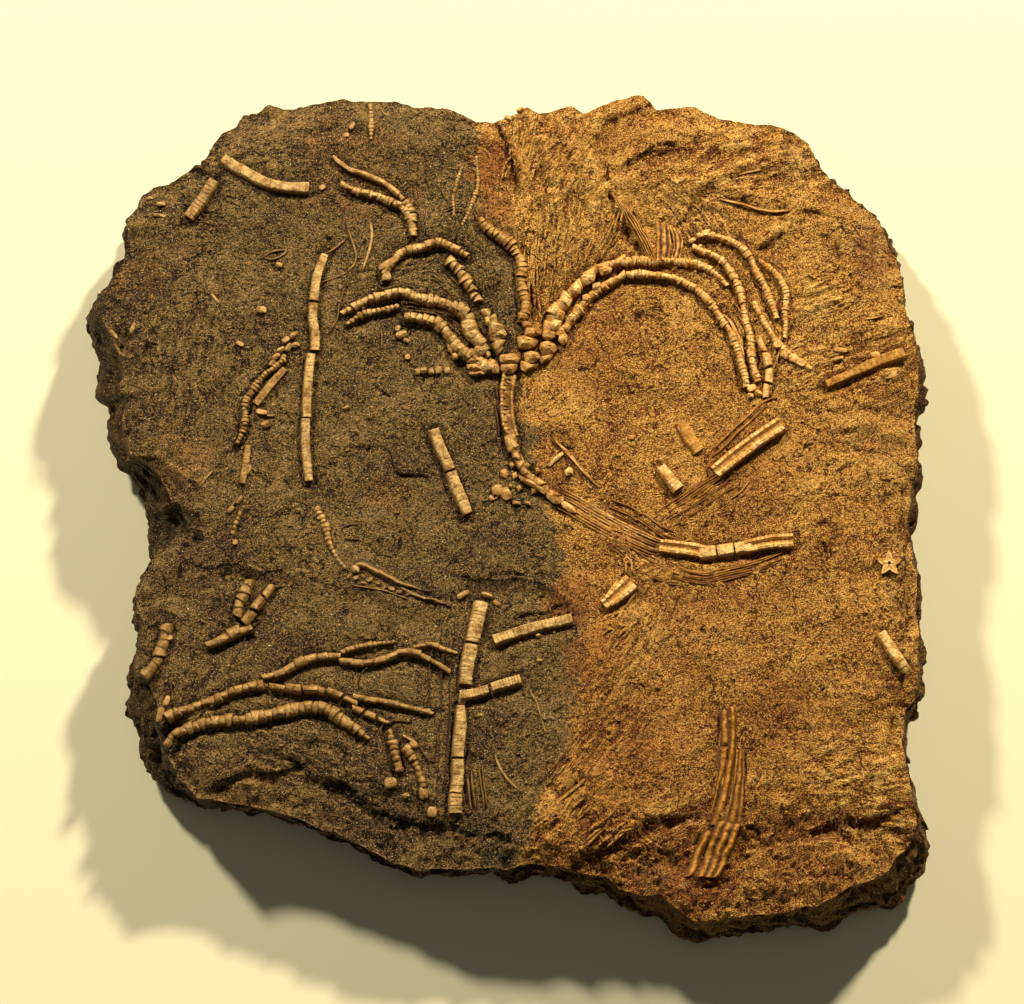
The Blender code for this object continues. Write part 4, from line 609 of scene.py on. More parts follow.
# the rim, clockwise from the upper left: x, y, and how far inside it the face's lip lies
rim = [
    (-120, 154, 3), (-116, 157.5, 2.5), (-110.5, 160.5, 2), (-108, 166, 2), (-101.5, 166.5, 2),
    (-97, 169.5, 2), (-91.5, 168, 2), (-83.5, 169, 2), (-77, 171, 2), (-67, 172, 2), (-57, 171, 2),
    (-44.5, 171.5, 2), (-37.5, 168.5, 2), (-32.5, 169, 2), (-24, 168, 2), (-12, 163.5, 2),
    (-6, 163, 2), (0, 164, 2), (9, 169, 2), (14.5, 166, 2), (28, 169.5, 2), (33.5, 166.5, 2),
    (44.5, 171.5, 2), (53, 173.5, 2), (57.5, 173.5, 2), (63, 168, 2), (79, 169, 2), (88.5, 164, 2),
    (96.5, 162, 2), (110.5, 161, 2), (119.5, 158.5, 2), (125.5, 154.5, 2.5), (129.5, 147, 3),
    (136.5, 138.5, 4), (151.5, 127, 4.5), (157, 120.5, 4.5), (159.5, 110.5, 4), (162, 106.5, 3.5),
    (164, 94.5, 3), (163.5, 86.5, 3), (168, 71, 3), (168.5, 66.5, 3), (171, 61.5, 4),
    (170.5, 56, 4), (171.5, 51.5, 5), (171.5, 46, 5), (168, 43.5, 3), (168, 27.5, 3),
    (169.5, 18, 4), (169, 12.5, 4), (166, 7.5, 3), (164.5, -7.5, 3), (167.5, -29, 3),
    (167.5, -47.5, 3), (169, -55, 4), (166.5, -79.5, 3), (162, -84.5, 2.5), (159.5, -97.5, 2.5),
    (169.5, -132.5, 8), (169.5, -138.5, 9), (164.5, -147, 9), (160.5, -148.5, 8), (159, -154, 9),
    (155, -158, 10), (143, -161, 8), (127.5, -168, 7), (113.5, -166.5, 2), (76.5, -173, 4),
    (71, -172, 9), (67.5, -170, 10), (65, -165.5, 8), (61.5, -163, 5.5), (55.5, -163, 5),
    (50, -161, 4), (46, -158.5, 3), (41, -153.5, 3), (30.5, -151.5, 2.5), (18, -145, -1),
    (8, -146, -0.5), (2.5, -148, 0), (-5, -145.5, -2), (-33, -145.5, -2.5), (-45, -141.5, -2.5),
    (-61.5, -132.5, -2.5), (-86, -124, -2), (-104, -119.5, -2), (-122, -119.5, 0),
    (-132.5, -114, 5), (-139.5, -107, 7.5), (-146, -95.5, 10), (-149, -86.5, 12), (-153, -79.5, 13),
    (-150.5, -72.5, 4.5), (-151, -68.5, 4.5), (-147, -49, 3), (-149.5, -45, 3), (-149.5, -34, 2.5),
    (-142.5, -20.5, 3), (-143, -10.5, 15), (-147, 13, 8), (-152.5, 20, 6), (-155.5, 21, 5.5),
    (-160, 30, 7), (-162, 37, 8), (-160.5, 46, 8.5), (-161.5, 48, 9), (-164, 49, 10),
    (-165.5, 52, 11), (-164.5, 59, 12), (-165.5, 65.5, 12), (-171.5, 81.5, 9.5), (-168.5, 90.5, 8),
    (-154.5, 108, 3.5), (-154, 110.5, 3), (-155.5, 120.5, 3), (-151.5, 126.5, 3), (-150, 132, 3),
    (-144.5, 135.5, 3), (-138.5, 137, 3), (-128, 145, 3), (-125, 144.5, 3),
]

# relief of the face: centre x, y, half length, half width, turn in degrees, height
swells = [
    (58, 42, 85, 75, 0, -2.0), (20, 138, 34, 40, 80, 0.8), (94, 137, 40, 10, 17, 0.8),
    (118, 118, 34, 11, 18, 0.8), (150, 112, 26, 30, 60, -1.4), (-95, 60, 70, 50, 70, 1.2),
    (-30, 30, 60, 40, 30, -1.2), (120, -60, 60, 90, 80, 1.4), (20, -110, 70, 26, 35, -1.4),
    (60, -146, 34, 12, 8, -2.2), (142, -134, 26, 10, -8, -2.2), (108, -137, 14, 9, 15, -2.0),
    (-60, -118, 50, 12, -20, -1.8),
]

# steps down to the right of a line: drop, width of the step's slope, how far the lower ground stays low, line
ledges = [
    (1.1, 6, 400, [(-141.5, -24.5), (-121.5, -30), (-101.5, -26.5), (-69.5, -33), (-45.5, -36),
                   (-15.5, -33.5), (-5, -30), (5.5, -29.5), (16, -32.5), (23.5, -37.5), (30, -50)]),
    (0.7, 1.2, 14, [(-26, -27), (-12, -31), (-3, -30.5), (5.5, -29.5), (16, -32.5), (23.5, -37.5), (30, -50)]),
    (0.7, 1.4, 12, [(-128, -22), (-118, -27), (-106, -25), (-96, -27.5), (-86, -27)]),
    (0.6, 0.8, 24, [(20.5, -148.5), (37.5, -142), (53.5, -134), (63.5, -129), (82, -126)]),
    (0.5, 0.8, 20, [(91, -133), (101, -136.5), (114.5, -135), (128.5, -130), (148.5, -127), (164, -121)]),
    (1.8, 2.5, 22, [(-120, -116), (-100.5, -109), (-81, -106), (-63, -115), (-51, -124.5), (-43, -128.5),
                    (-21.5, -130), (-1.5, -134), (10, -139)]),
    (1.6, 2, 18, [(-117.5, 140), (-121, 128), (-139.5, 120), (-152, 124)]),
    (2.2, 1.6, 26, [(166, 84), (158, 93), (146, 107), (137, 121), (124, 131), (117, 146), (112, 160)]),
    (1.0, 2, 12, [(39, 160), (47, 163.5), (55.5, 167), (66, 171)]),
    (1.0, 1.6, 9, [(47, 141.5), (59, 148), (72, 150)]),
    (1.3, 2, 12, [(151, -100), (156, -78), (157, -60), (160, -38), (158, -10), (160, 16)]),
]

# cracks and furrows, and folds that have a depth under zero: depth, width, line
cracks = [
    (-1.0, 1.3, [(74, 127), (80, 131), (85.5, 134.5), (93.5, 137.5), (99, 139), (112, 141)]),
    (-0.8, 1.2, [(84, 130.5), (92, 130.5), (104.5, 127), (118, 126)]),
    (-0.9, 1.2, [(92, 137), (101, 141.5), (110, 145)]),
    (-1.2, 1.5, [(36, 158), (47, 164), (56, 168), (66, 171)]),
    (-1.3, 1.5, [(44, 139), (53, 146), (62, 150), (72, 151.5)]),
    (-1.2, 1.4, [(100, 107), (108, 111), (116, 114)]),
    (-1.4, 1.5, [(-4, 164), (0.5, 156), (3, 147), (5.5, 138), (7, 128)]),
    (2.4, 0.9, [(41.6, 132), (45.6, 122), (50.6, 112.5), (57, 102)]),
    (2.0, 0.8, [(57.5, 100.4), (62, 99.4), (68.5, 99.4)]),
    (1.6, 0.8, [(50.5, 122), (54, 119.8), (58, 117.6), (61.5, 114.8)]),
    (1.1, 0.8, [(68.5, 115.5), (73.5, 118.5), (78.5, 121)]),
    (1.0, 0.8, [(71.5, 108.5), (76, 108.5), (80, 110.5)]),
    (1.2, 0.7, [(-104, 24.5), (-109.5, 20.5), (-115, 16)]),
    (1.4, 0.9, [(46.3, 162.5), (42.5, 154), (41.5, 146), (42.3, 131)]),
    (-1.0, 1.3, [(10, 160), (13, 150), (17, 140), (20, 131)]),
    (-1.0, 1.3, [(22, 158), (26, 148), (31, 139), (34, 130)]),
    (-1.3, 1.4, [(118, 77), (126, 81.5), (134, 84), (141, 84.5)]),
    (-1.2, 1.3, [(119, 86), (127, 87.5), (134, 91), (140, 96.5)]),
    (-1.2, 1.4, [(130, 38), (140, 41), (152, 40), (160, 36)]),
    (-1.0, 1.4, [(128, 30), (138, 31.5), (150, 30.5), (162, 27)]),
    (-1.2, 1.6, [(24, -132), (32, -124), (40, -116), (46, -108)]),
    (-1.0, 1.4, [(18, -124), (24, -115), (32, -105)]),
    (-1.3, 1.6, [(96, -121), (106, -124), (118, -121), (132, -117)]),
    (0.5, 0.5, [(45.5, -144.5), (57.5, -139.5), (69.5, -135), (77, -130), (82, -127)]),
    (0.5, 0.5, [(59.5, -130), (69.5, -128), (79, -126.5)]),
    (0.5, 0.5, [(92, -133), (96, -135.5), (101, -136.5)]),
    (0.5, 0.5, [(124.5, -135), (136.5, -131), (150, -128.5)]),
    (2.4, 1.2, [(-73, -114), (-63, -115), (-51, -124.5), (-43, -128.5), (-33.5, -129)]),
    (1.2, 1.0, [(-86.5, -104), (-79, -106), (-73, -105)]),
    (4.5, 2.6, [(-133, 0), (-131.5, -2.5), (-126.5, -10.5), (-121.5, -18)]),
    (1.3, 0.9, [(-66, 22.5), (-56, 23), (-50, 23), (-46, 21.5), (-44.5, 15.5), (-42.5, 11.5), (-26, 11.5)]),
    (0.9, 0.8, [(-53.5, 49.5), (-45.5, 44)]),
    (0.8, 0.8, [(-55.5, 35), (-51, 34)]),
    (1.1, 0.9, [(-39.5, -10), (-42, -17.5), (-44.5, -22.5)]),
    (1.3, 0.9, [(2, -47), (17.5, -44), (21.5, -41.5), (25.5, -42)]),
    (1.1, 1.3, [(16, 32.5), (21.5, 24.5), (27, 23), (29.5, 17.5), (31.5, 12.5), (35.5, 9), (38.5, 6)]),
    (1.8, 1.4, [(-6.5, 166), (-2.5, 158.5), (0, 152), (2.5, 144.5), (4.5, 138.5), (5.5, 126.5)]),
    (0.9, 0.9, [(116.5, 26), (120.5, 23), (126.5, 26), (134.5, 21), (146.5, 21.5), (160.5, 21.5)]),
    (0.8, 0.8, [(118, -11.5), (128, -8), (134, -11.5)]),
    (0.8, 0.8, [(126, -13.5), (129, -21.5)]),
    (0.9, 0.8, [(124.5, -72.5), (128.5, -80), (125, -81)]),
    (0.9, 0.8, [(122.5, -121), (128, -119)]),
    (1.2, 1.0, [(87.5, 127.5), (97.5, 125.5), (104.5, 123), (116, 122.5)]),
    (1.0, 0.9, [(112, 124.5), (120, 122), (134, 120)]),
    (1.0, 1.1, [(101.5, 105.5), (113.5, 112)]),
    (0.9, 0.9, [(135.5, 120), (140, 109.5), (148, 105.5)]),
    (1.4, 0.8, [(85, -84), (85.2, -92), (84, -100), (83.6, -110), (82, -119), (78.5, -129)]),
    (1.0, 0.7, [(95.8, -100), (95.4, -113), (94.4, -125)]),
    (1.2, 0.8, [(94.5, -131), (98, -132), (102, -135.5)]),
    (1.4, 0.8, [(69, -153.5), (76, -155), (84, -155), (90, -152)]),
    (1.2, 1.4, [(16, -133), (26, -126), (38, -117)]),
    (0.9, 1.1, [(20, -121), (30, -113)]),
    (1.0, 0.9, [(53, 72), (53, 79.5), (61, 78.5)]),
    (0.9, 0.9, [(-129.5, -36), (-129.5, -25.5), (-131, -18.5)]),
]

# patches of drawn-out relief: centre x, y, half length, half width, turn, spacing across, height
fibreFields = [
    (24, 112, 26, 17, 86, 3.0, 1.2), (22, 145, 24, 22, 70, 4.2, 1.2), (-14, 118, 18, 14, 100, 2.6, 0.5),
    (-46, 92, 20, 10, 12, 2.6, 0.5), (128, 85, 13, 9, 20, 3.0, 0.8), (30, -108, 42, 15, 52, 4.0, 1.1),
    (48, -62, 34, 12, 58, 3.6, 0.8), (-70, -108, 52, 12, -22, 5.0, 0.8), (100, 140, 46, 16, 16, 6.0, 0.9),
    (60, -135, 46, 14, 24, 5.0, 1.1), (140, -118, 34, 24, 8, 6.0, 0.9), (140, 60, 30, 14, 18, 4.0, 0.6),
    (-128, 60, 40, 16, 80, 7.0, 0.8), (-100, 148, 46, 12, 8, 6.0, 0.7), (60, -20, 34, 10, -22, 2.6, 0.5),
    (-128, -90, 30, 12, 60, 5.0, 0.8), (38, 96, 14, 12, 60, 2.4, 0.4), (74, 120, 22, 12, -50, 3.0, 0.5),
]

# overlapping flakes, each ending in a step: centre x, y, half length, half width, turn, spacing, drop
shingleFields = [
    (122, -138, 46, 20, 8, 8.0, 2.6), (50, -142, 34, 16, 22, 6.0, 2.2), (-70, -118, 60, 12, -18, 6.0, 1.6),
    (88, 152, 44, 12, 10, 8.0, 0.8), (104, 122, 30, 14, 8, 7.0, 0.8), (-128, 110, 30, 14, 50, 7.0, 1.3),
    (-150, 60, 40, 12, 80, 6.0, 1.4), (-134, -100, 26, 10, -50, 5.0, 1.4), (158, -40, 60, 8, -85, 5.0, 1.2),
    (24, 150, 22, 22, 60, 5.0, 0.9), (128, 30, 40, 16, 10, 8.0, 0.8), (140, -90, 30, 20, 20, 8.0, 0.8),
    (-40, 60, 40, 24, 30, 9.0, 0.5), (-110, -10, 40, 30, -10, 9.0, 0.6),
]

# where the iron-stained half begins, from the upper rim to the lower one
stainEdge = [
    (-10, 180), (-10, 163.5), (-10, 126.5), (-2, 120), (4.5, 109.5), (6.5, 93), (9.5, 76), (4.5, 63.5),
    (6.5, 53), (6.5, 36.5), (13.5, 30), (13.5, 17.5), (15, 9.5), (21, -9.5), (24, -22.5), (27, -34),
    (34, -42), (32, -49), (31, -72.5), (29, -81), (27.5, -92), (24, -101), (21, -111.5), (15.5, -118.5),
    (10.5, -131.5), (7.5, -144.5), (7.5, -175),
]

# rust patches and grey bare patches: x, y, radius, strength
rustPatches = [
    (-3, 142, 12, 1.0), (-4, 122, 8, 0.8), (20, 8, 7, 0.6), (28, -40, 12, 0.8), (37, -62, 14, 0.7),
    (150, 108, 9, 0.9), (70, -150, 22, 0.9), (40, -120, 26, 0.5), (-148, 95, 12, 0.2), (-60, 140, 26, 0.18),
    (-130, 20, 14, 0.18), (-45, 4, 10, 0.25), (-100, -130, 26, 0.15), (48, -96, 30, 0.6), (66, -34, 16, 0.4),
    (154, 118, 8, 0.9), (148, 98, 6, 0.9), (30, 60, 14, 0.4), (90, 10, 24, 0.3), (20, 150, 16, 0.4),
    (86, -112, 56, 0.3), (70, -58, 34, 0.25),
]
greyPatches = [
    (122, 147, 12, 0.8), (146, 112, 12, 0.9), (150, 30, 14, 0.55), (156, 12, 12, 0.6), (160, -38, 9, 0.7),
    (158, -66, 8, 0.7), (58, -152, 8, 0.6), (152, 96, 10, 0.6), (160, -20, 10, 0.6), (158, 60, 8, 0.5),
]


def wobble(x, y, scale, layer):
    # the same gentle waves as the solid has, read at each point
    return np.array([noise.noise(Vector((a / scale, b / scale, 7 + 3.7 * layer))) for a, b in zip(x, y)])


def gentleGrid():
    places = np.arange(-180.0, 181.0, 3.0)
    x, y = (g.ravel() for g in np.meshgrid(places, places, indexing="ij"))
    height = 1.0 * wobble(x, y, 60.0, 0) + 0.5 * wobble(x, y, 25.0, 1)
    return height.reshape(len(places), len(places))


gentle = gentleGrid()


def sample(grid, spacing, x, y):
    # reads a grid that runs from -180 to 180 between its points
    gx, gy = (np.clip((v + 180.0) / spacing, 0.0, grid.shape[0] - 1.001) for v in (x, y))
    ix, iy = gx.astype(int), gy.astype(int)
    fx, fy = gx - ix, gy - iy
    low = grid[ix, iy] * (1 - fx) + grid[ix + 1, iy] * fx
    high = grid[ix, iy + 1] * (1 - fx) + grid[ix + 1, iy + 1] * fx
    return low * (1 - fy) + high * fy


def beddingHeight(x, y):
    # the face without its grit: what the fossils lie on
    height = slab["thickness"] + sample(gentle, 3.0, x, y)
    for cx, cy, halfLength, halfWidth, turn, rise in swells:
        turn = math.radians(turn)
        along = (x - cx) * math.cos(turn) + (y - cy) * math.sin(turn)
        across = (y - cy) * math.cos(turn) - (x - cx) * math.sin(turn)
        height = height + rise * np.exp(-1.5 * ((along / halfLength) ** 2 + (across / halfWidth) ** 2))
    for drop, slope, reach, line in ledges:
        gap, side, along = beside(x, y, line, min(reach, 140.0))
        gap = gap + 0.8 * waves(x, y, 5.0, 21) + (0.8 + 0.5 * slope) * waves(x, y, 13.0, 23)
        low = ease(side * gap, 0.0, slope) * (1.0 - ease(gap, 0.5 * reach, reach))
        ends = ease(along, 0.0, 0.06) * (1.0 - ease(along, 0.94, 1.0))
        height = height - 1.35 * drop * low * ends
    return height


def mapSamples():
    # points of the rim, slab["cells"] to each side of the grid, from the upper left corner clockwise
    corners = [*slab["rimCorners"], slab["rimCorners"][0] + len(rim)]
    samples = []
    for first, last in zip(corners, corners[1:]):
        stretch = np.array([rim[k % len(rim)] for k in range(first, last + 1)], float)
        walked = np.concatenate([[0.0], np.cumsum(np.hypot(*np.diff(stretch[:, :2], axis=0).T))])
        places = np.linspace(0.0, walked[-1], slab["cells"], endpoint=False)
        samples.append(np.stack([np.interp(places, walked, stretch[:, k]) for k in range(3)], axis=1))
    samples = np.concatenate(samples)
    away = np.hypot(samples[:, 0], samples[:, 1])
    jag = 0.7 * rough(samples[:, 0], samples[:, 1], 11.0, 31, 4)
    samples[:, :2] *= (1.0 + jag / away)[:, None]
    return samples


def pulledIn(samples, cut):
    share = 1.0 - cut / np.hypot(samples[:, 0], samples[:, 1])
    return samples[:, 0] * share, samples[:, 1] * share


def smoothRoute(route, spacing=0.8):
    # a smooth line through the points of a route, with the width carried along
    route = np.array(route, float)
    padded = np.concatenate([[2 * route[0] - route[1]], route, [2 * route[-1] - route[-2]]])
    parts = []
    for p0, p1, p2, p3 in zip(padded, padded[1:], padded[2:], padded[3:]):
        t = np.linspace(0.0, 1.0, max(2, int(np.hypot(*(p2 - p1)[:2]) / spacing)), endpoint=False)[:, None]
        parts.append(0.5 * (2 * p1 + (p2 - p0) * t + (2 * p0 - 5 * p1 + 4 * p2 - p3) * t ** 2
                            + (3 * p1 - p0 - 3 * p2 + p3) * t ** 3))
    return np.concatenate([*parts, route[-1:]])


def fossilRims(x, y):
    # how near the foot of a fossil each point is
    nearest = np.full(x.shape, 9.0)
    for group in (leftFossils, middleFossils, rightFossils):
        for *_, route in group.values():
            half = 0.5 * sum(p[2] for p in route) / len(route)
            gap, _, _ = beside(x, y + 0.5, smoothRoute(route, 3.0), half + 6.0)
            nearest = np.minimum(nearest, np.abs(gap - half - 0.5))
    return nearest


def reliefHeight(x, y, share):
    # grit, fibres, cracks and a rougher edge near the lip; then how far the nearest crack, step or fossil is
    height = slab["grit"] * rough(x, y, 3.6, 41, 2) + 0.45 * rough(x, y, 13.0, 45, 2) - 0.25
    height = height + 0.7 * flakes(x, y, 24.0, 47) * (0.4 + ease(waves(x, y, 40.0, 49), -0.2, 0.4))
    for cx, cy, halfLength, halfWidth, turn, spacing, drop in shingleFields:
        angle = math.radians(turn)
        along = (x - cx) * math.cos(angle) + (y - cy) * math.sin(angle)
        across = (y - cy) * math.cos(angle) - (x - cx) * math.sin(angle)
        mask = np.exp(-(((along / halfLength) ** 2 + (across / halfWidth) ** 2) ** 2))
        rise = across / spacing + 0.9 * rough(x, y, 2.2 * spacing, 77, 4)
        rise = rise - np.floor(rise)
        height = height - 0.7 * drop * mask * (1.0 - rise) * ease(rise, 0.0, 0.1)
    edge = ease(share, 0.8, 1.0)
    height = height + edge * 1.2 * rough(x, y, 9.0, 51, 3)
    rugged = ease(-y, 118.0, 136.0)  # the lower margin is broken, not split
    height = height + rugged * (0.9 * rough(x, y, 11.0, 105, 4) + 1.3 * flakes(x, y, 15.0, 107) - 0.7)
    right = ease(x, 0.0, 40.0)
    height = height + 0.35 * (streaks(x, y, 55.0, 12.0, 3.0, 55) * right + streaks(x, y, 80.0, 14.0, 3.4, 57) * (1 - right))
    for cx, cy, halfLength, halfWidth, turn, spacing, rise in fibreFields:
        angle = math.radians(turn)
        along = (x - cx) * math.cos(angle) + (y - cy) * math.sin(angle)
        across = (y - cy) * math.cos(angle) - (x - cx) * math.sin(angle)
        mask = np.exp(-(((along / halfLength) ** 2 + (across / halfWidth) ** 2) ** 1.5))
        ridge = 0.5 - np.abs(streaks(x, y, turn, spacing * 7.0, spacing * 2.0, 60))
        height = height + 1.6 * rise * mask * (ridge + 0.5 * streaks(x, y, turn + 8, spacing * 5.0, spacing, 66))
    nearest = np.full(x.shape, 9.0)
    for depth, width, line in cracks:
        gap, side, along = beside(x, y, line, 7.0 * width)
        offset = side * gap + 0.8 * width * rough(x, y, 6.0, 71, 3)
        reach = np.where((offset > 0.0) == (depth > 0.0), 2.4 * width, 0.6 * width)  # steep on one side of the line
        ends = ease(along, 0.0, 0.12) * (1.0 - ease(along, 0.88, 1.0))
        ends = ends * (0.7 + 0.3 * ease(waves(x, y, 9.0, 73), -0.3, 0.3))
        height = height - depth * np.exp(-(offset / reach) ** 2) * ends * (gap < 90.0)
        if depth > 0.0:
            nearest = np.minimum(nearest, np.abs(offset) / width + 2.0 * (1.0 - ends))
    for drop, slope, reach, line in ledges[1:]:
        gap, side, along = beside(x, y, line, min(reach, 30.0))
        ends = ease(along, 0.0, 0.1) * (1.0 - ease(along, 0.9, 1.0))
        foot = side * gap - 0.5 * slope + 0.8 * waves(x, y, 5.0, 21) + (0.8 + 0.5 * slope) * waves(x, y, 13.0, 23)
        nearest = np.minimum(nearest, 1.4 * np.abs(foot) + 2.0 * (1.0 - ends))
    rims = fossilRims(x, y)
    # the nearness to cracks, step feet and fossil feet is what the material paints as thin dark shadow lines
    return height - 1.05 * np.exp(-((rims / 1.4) ** 2)), np.minimum(nearest, 1.4 * rims + 0.35)


def flowAt(x, y):
    # coordinates along and across the fibres of the strongest field at each point, and its strength
    flow, strength = np.zeros((len(x), 3)), np.zeros(len(x))
    for cx, cy, halfLength, halfWidth, turn, spacing, rise in fibreFields:
        angle = math.radians(turn)
        along = (x - cx) * math.cos(angle) + (y - cy) * math.sin(angle)
        across = (y - cy) * math.cos(angle) - (x - cx) * math.sin(angle)
        mask = np.exp(-(((along / halfLength) ** 2 + (across / halfWidth) ** 2) ** 1.5))
        bend = 2.0 * waves(x, y, 18.0, 62)
        lines = np.stack([along / 9.0, (across + bend) / (0.45 * spacing), np.full(len(x), 3.0 * cx)], axis=1)
        stronger = mask > strength
        flow[stronger] = lines[stronger]
        strength = np.maximum(strength, mask)
    return flow, strength


def stainAt(x, y):
    # 0 on the dark side, 1 on the iron-stained side
    gap, side, _ = beside(x, y, stainEdge, 400.0)
    return ease(-side * gap + 3.0 * rough(x, y, 9.0, 81, 3), -4.5, 4.5)


def patchesAt(x, y, patches):
    total = np.zeros(x.shape)
    for px, py, radius, strength in patches:
        gap = np.hypot(x - px, y - py) + 0.45 * radius * rough(x, y, 0.7 * radius, 85, 3)
        total = np.maximum(total, strength * (1.0 - ease(gap, 0.55 * radius, 1.2 * radius)))
    return total


def makeSlab():
    cells = slab["cells"]
    samples = mapSamples()
    lipX, lipY = pulledIn(samples, samples[:, 2])
    step = np.linspace(-1.0, 1.0, cells + 1)
    u, v = (g.ravel() for g in np.meshgrid(step, step, indexing="ij"))
    share = np.maximum(np.abs(u), np.abs(v))
    safe = np.maximum(share, 1e-9)
    column, row = (u / safe + 1.0) / 2.0 * cells, (v / safe + 1.0) / 2.0 * cells
    place = np.where(np.abs(v) >= np.abs(u), np.where(v > 0, column, 3 * cells - column),
                     np.where(u > 0, 2 * cells - row, 3 * cells + row)) % (4 * cells)
    first = np.floor(place + 1e-6).astype(int) % (4 * cells)
    part = np.clip(place - np.floor(place + 1e-6), 0.0, 1.0)
    second = (first + 1) % (4 * cells)
    x = (lipX[first] * (1 - part) + lipX[second] * part) * share
    y = (lipY[first] * (1 - part) + lipY[second] * part) * share
    base = beddingHeight(x, y)
    relief, openings = reliefHeight(x, y, share)
    z = base + relief - slab["edgeRoll"] * ease(share, slab["rollStart"], 1.0)
    z = np.where(z > slab["highest"] - 1.0, slab["highest"] - 1.0 + np.tanh(z - slab["highest"] + 1.0), z)

    ids = np.arange((cells + 1) ** 2).reshape(cells + 1, cells + 1)
    quads = [np.stack([ids[:-1, :-1], ids[1:, :-1], ids[1:, 1:], ids[:-1, 1:]], axis=-1).reshape(-1, 4)]
    # the face's border in the order of the rim samples
    border = np.concatenate([ids[:-1, -1], ids[-1, :0:-1], ids[:0:-1, 0], ids[0, :-1]])
    lipZ = z[border]

    # the broken side: each bed is a pair of rings, the next bed stands out or back from it
    walked = np.concatenate([[0.0], np.cumsum(np.hypot(np.diff(samples[:, 0]), np.diff(samples[:, 1])))])
    rings, previous, count = [], border, len(x)
    sideX, sideY, sideZ = [], [], []
    levels = []
    for bed in range(slab["beds"]):
        top, low = 1.0 - bed / slab["beds"], 1.0 - (bed + 1) / slab["beds"]
        levels += [(bed, top - 0.012), (bed, low + 0.012)]
    levels[0] = (0, 0.985)
    levels[-1] = (slab["beds"] - 1, 0.0)
    for bed, level in levels:
        out = slab["bedOut"] * rough(walked, np.full(walked.shape, 40.0 * bed), 17.0, 91, 3)
        out = out + 1.1 * rough(walked, np.full(walked.shape, 90.0 * level), 6.0, 95, 4)
        cut = samples[:, 2] * ease(level, slab["belly"], 1.0)
        cut = cut + slab["footInset"] * ease(slab["belly"] - level, 0.0, slab["belly"])
        fade = ease(1.0 - level, 0.0, 0.2) if level > 0.05 else 0.5
        hollow = ease(rough(walked, np.full(walked.shape, 23.0 * bed), 21.0, 93), 0.12, 0.5)
        cut = cut + slab["hollows"] * hollow * (0.1 < level < 0.93)
        sx, sy = pulledIn(samples, cut + out * fade)
        jagZ = 1.3 * rough(walked, np.full(walked.shape, 31.0 * bed), 9.0, 97) * (0.0 < level < 0.95)
        sideX.append(sx)
        sideY.append(sy)
        sideZ.append(np.maximum(level * lipZ + jagZ, 0.0) if level > 0 else np.zeros(len(sx)))
        ring = count + np.arange(len(sx))
        count += len(sx)
        quads.append(np.stack([previous, np.roll(previous, -1), np.roll(ring, -1), ring], axis=-1))
        previous = ring
    x = np.concatenate([x, *sideX])
    y = np.concatenate([y, *sideY])
    z = np.concatenate([z, *sideZ])

    mesh = bpy.data.meshes.new("shale_slab")
    mesh.from_pydata(np.stack([x, y, z], axis=1) * mm, [], np.concatenate(quads))
    shape = bmesh.new()
    shape.from_mesh(mesh)
    bmesh.ops.holes_fill(shape, edges=[edge for edge in shape.edges if edge.is_boundary])
    bmesh.ops.recalc_face_normals(shape, faces=shape.faces)
    bmesh.ops.triangulate(shape, faces=[f for f in shape.faces if len(f.verts) > 4])
    shape.to_mesh(mesh)
    shape.free()

    onSide = np.concatenate([np.zeros(len(relief)), np.ones(len(x) - len(relief))])
    paintedBedShading = np.tile(np.repeat([-1.6, 0.6], cells * 4), slab["beds"])  # each bed painted dark at its top and light at its foot: painted shade under the bed above
    # the face's relief goes to the material as its crest: low places and the moats round the fossils are painted darker
    # as shade, high places lighter as highlight
    high = np.concatenate([relief, paintedBedShading])
    openings = np.concatenate([openings, np.full(len(paintedBedShading), 9.0)])
    for name, values in (("stain", stainAt(x, y)), ("rust", patchesAt(x, y, rustPatches)),
                         ("grey", patchesAt(x, y, greyPatches)), ("side", onSide), ("crest", high), ("opening", openings)):
        mesh.attributes.new(name, "FLOAT", "POINT").data.foreach_set("value", values.astype(np.float32))
    flow, strength = flowAt(x, y)
    mesh.attributes.new("flow", "FLOAT_VECTOR", "POINT").data.foreach_set("vector", flow.astype(np.float32).ravel())
    mesh.attributes.new("fibre", "FLOAT", "POINT").data.foreach_set("value", strength.astype(np.float32))
    mesh.shade_smooth()
    mesh.set_sharp_from_angle(angle=math.radians(50.0))
    made = bpy.data.objects.new("shale_slab", mesh)
    bpy.context.scene.collection.objects.link(made)
    return made


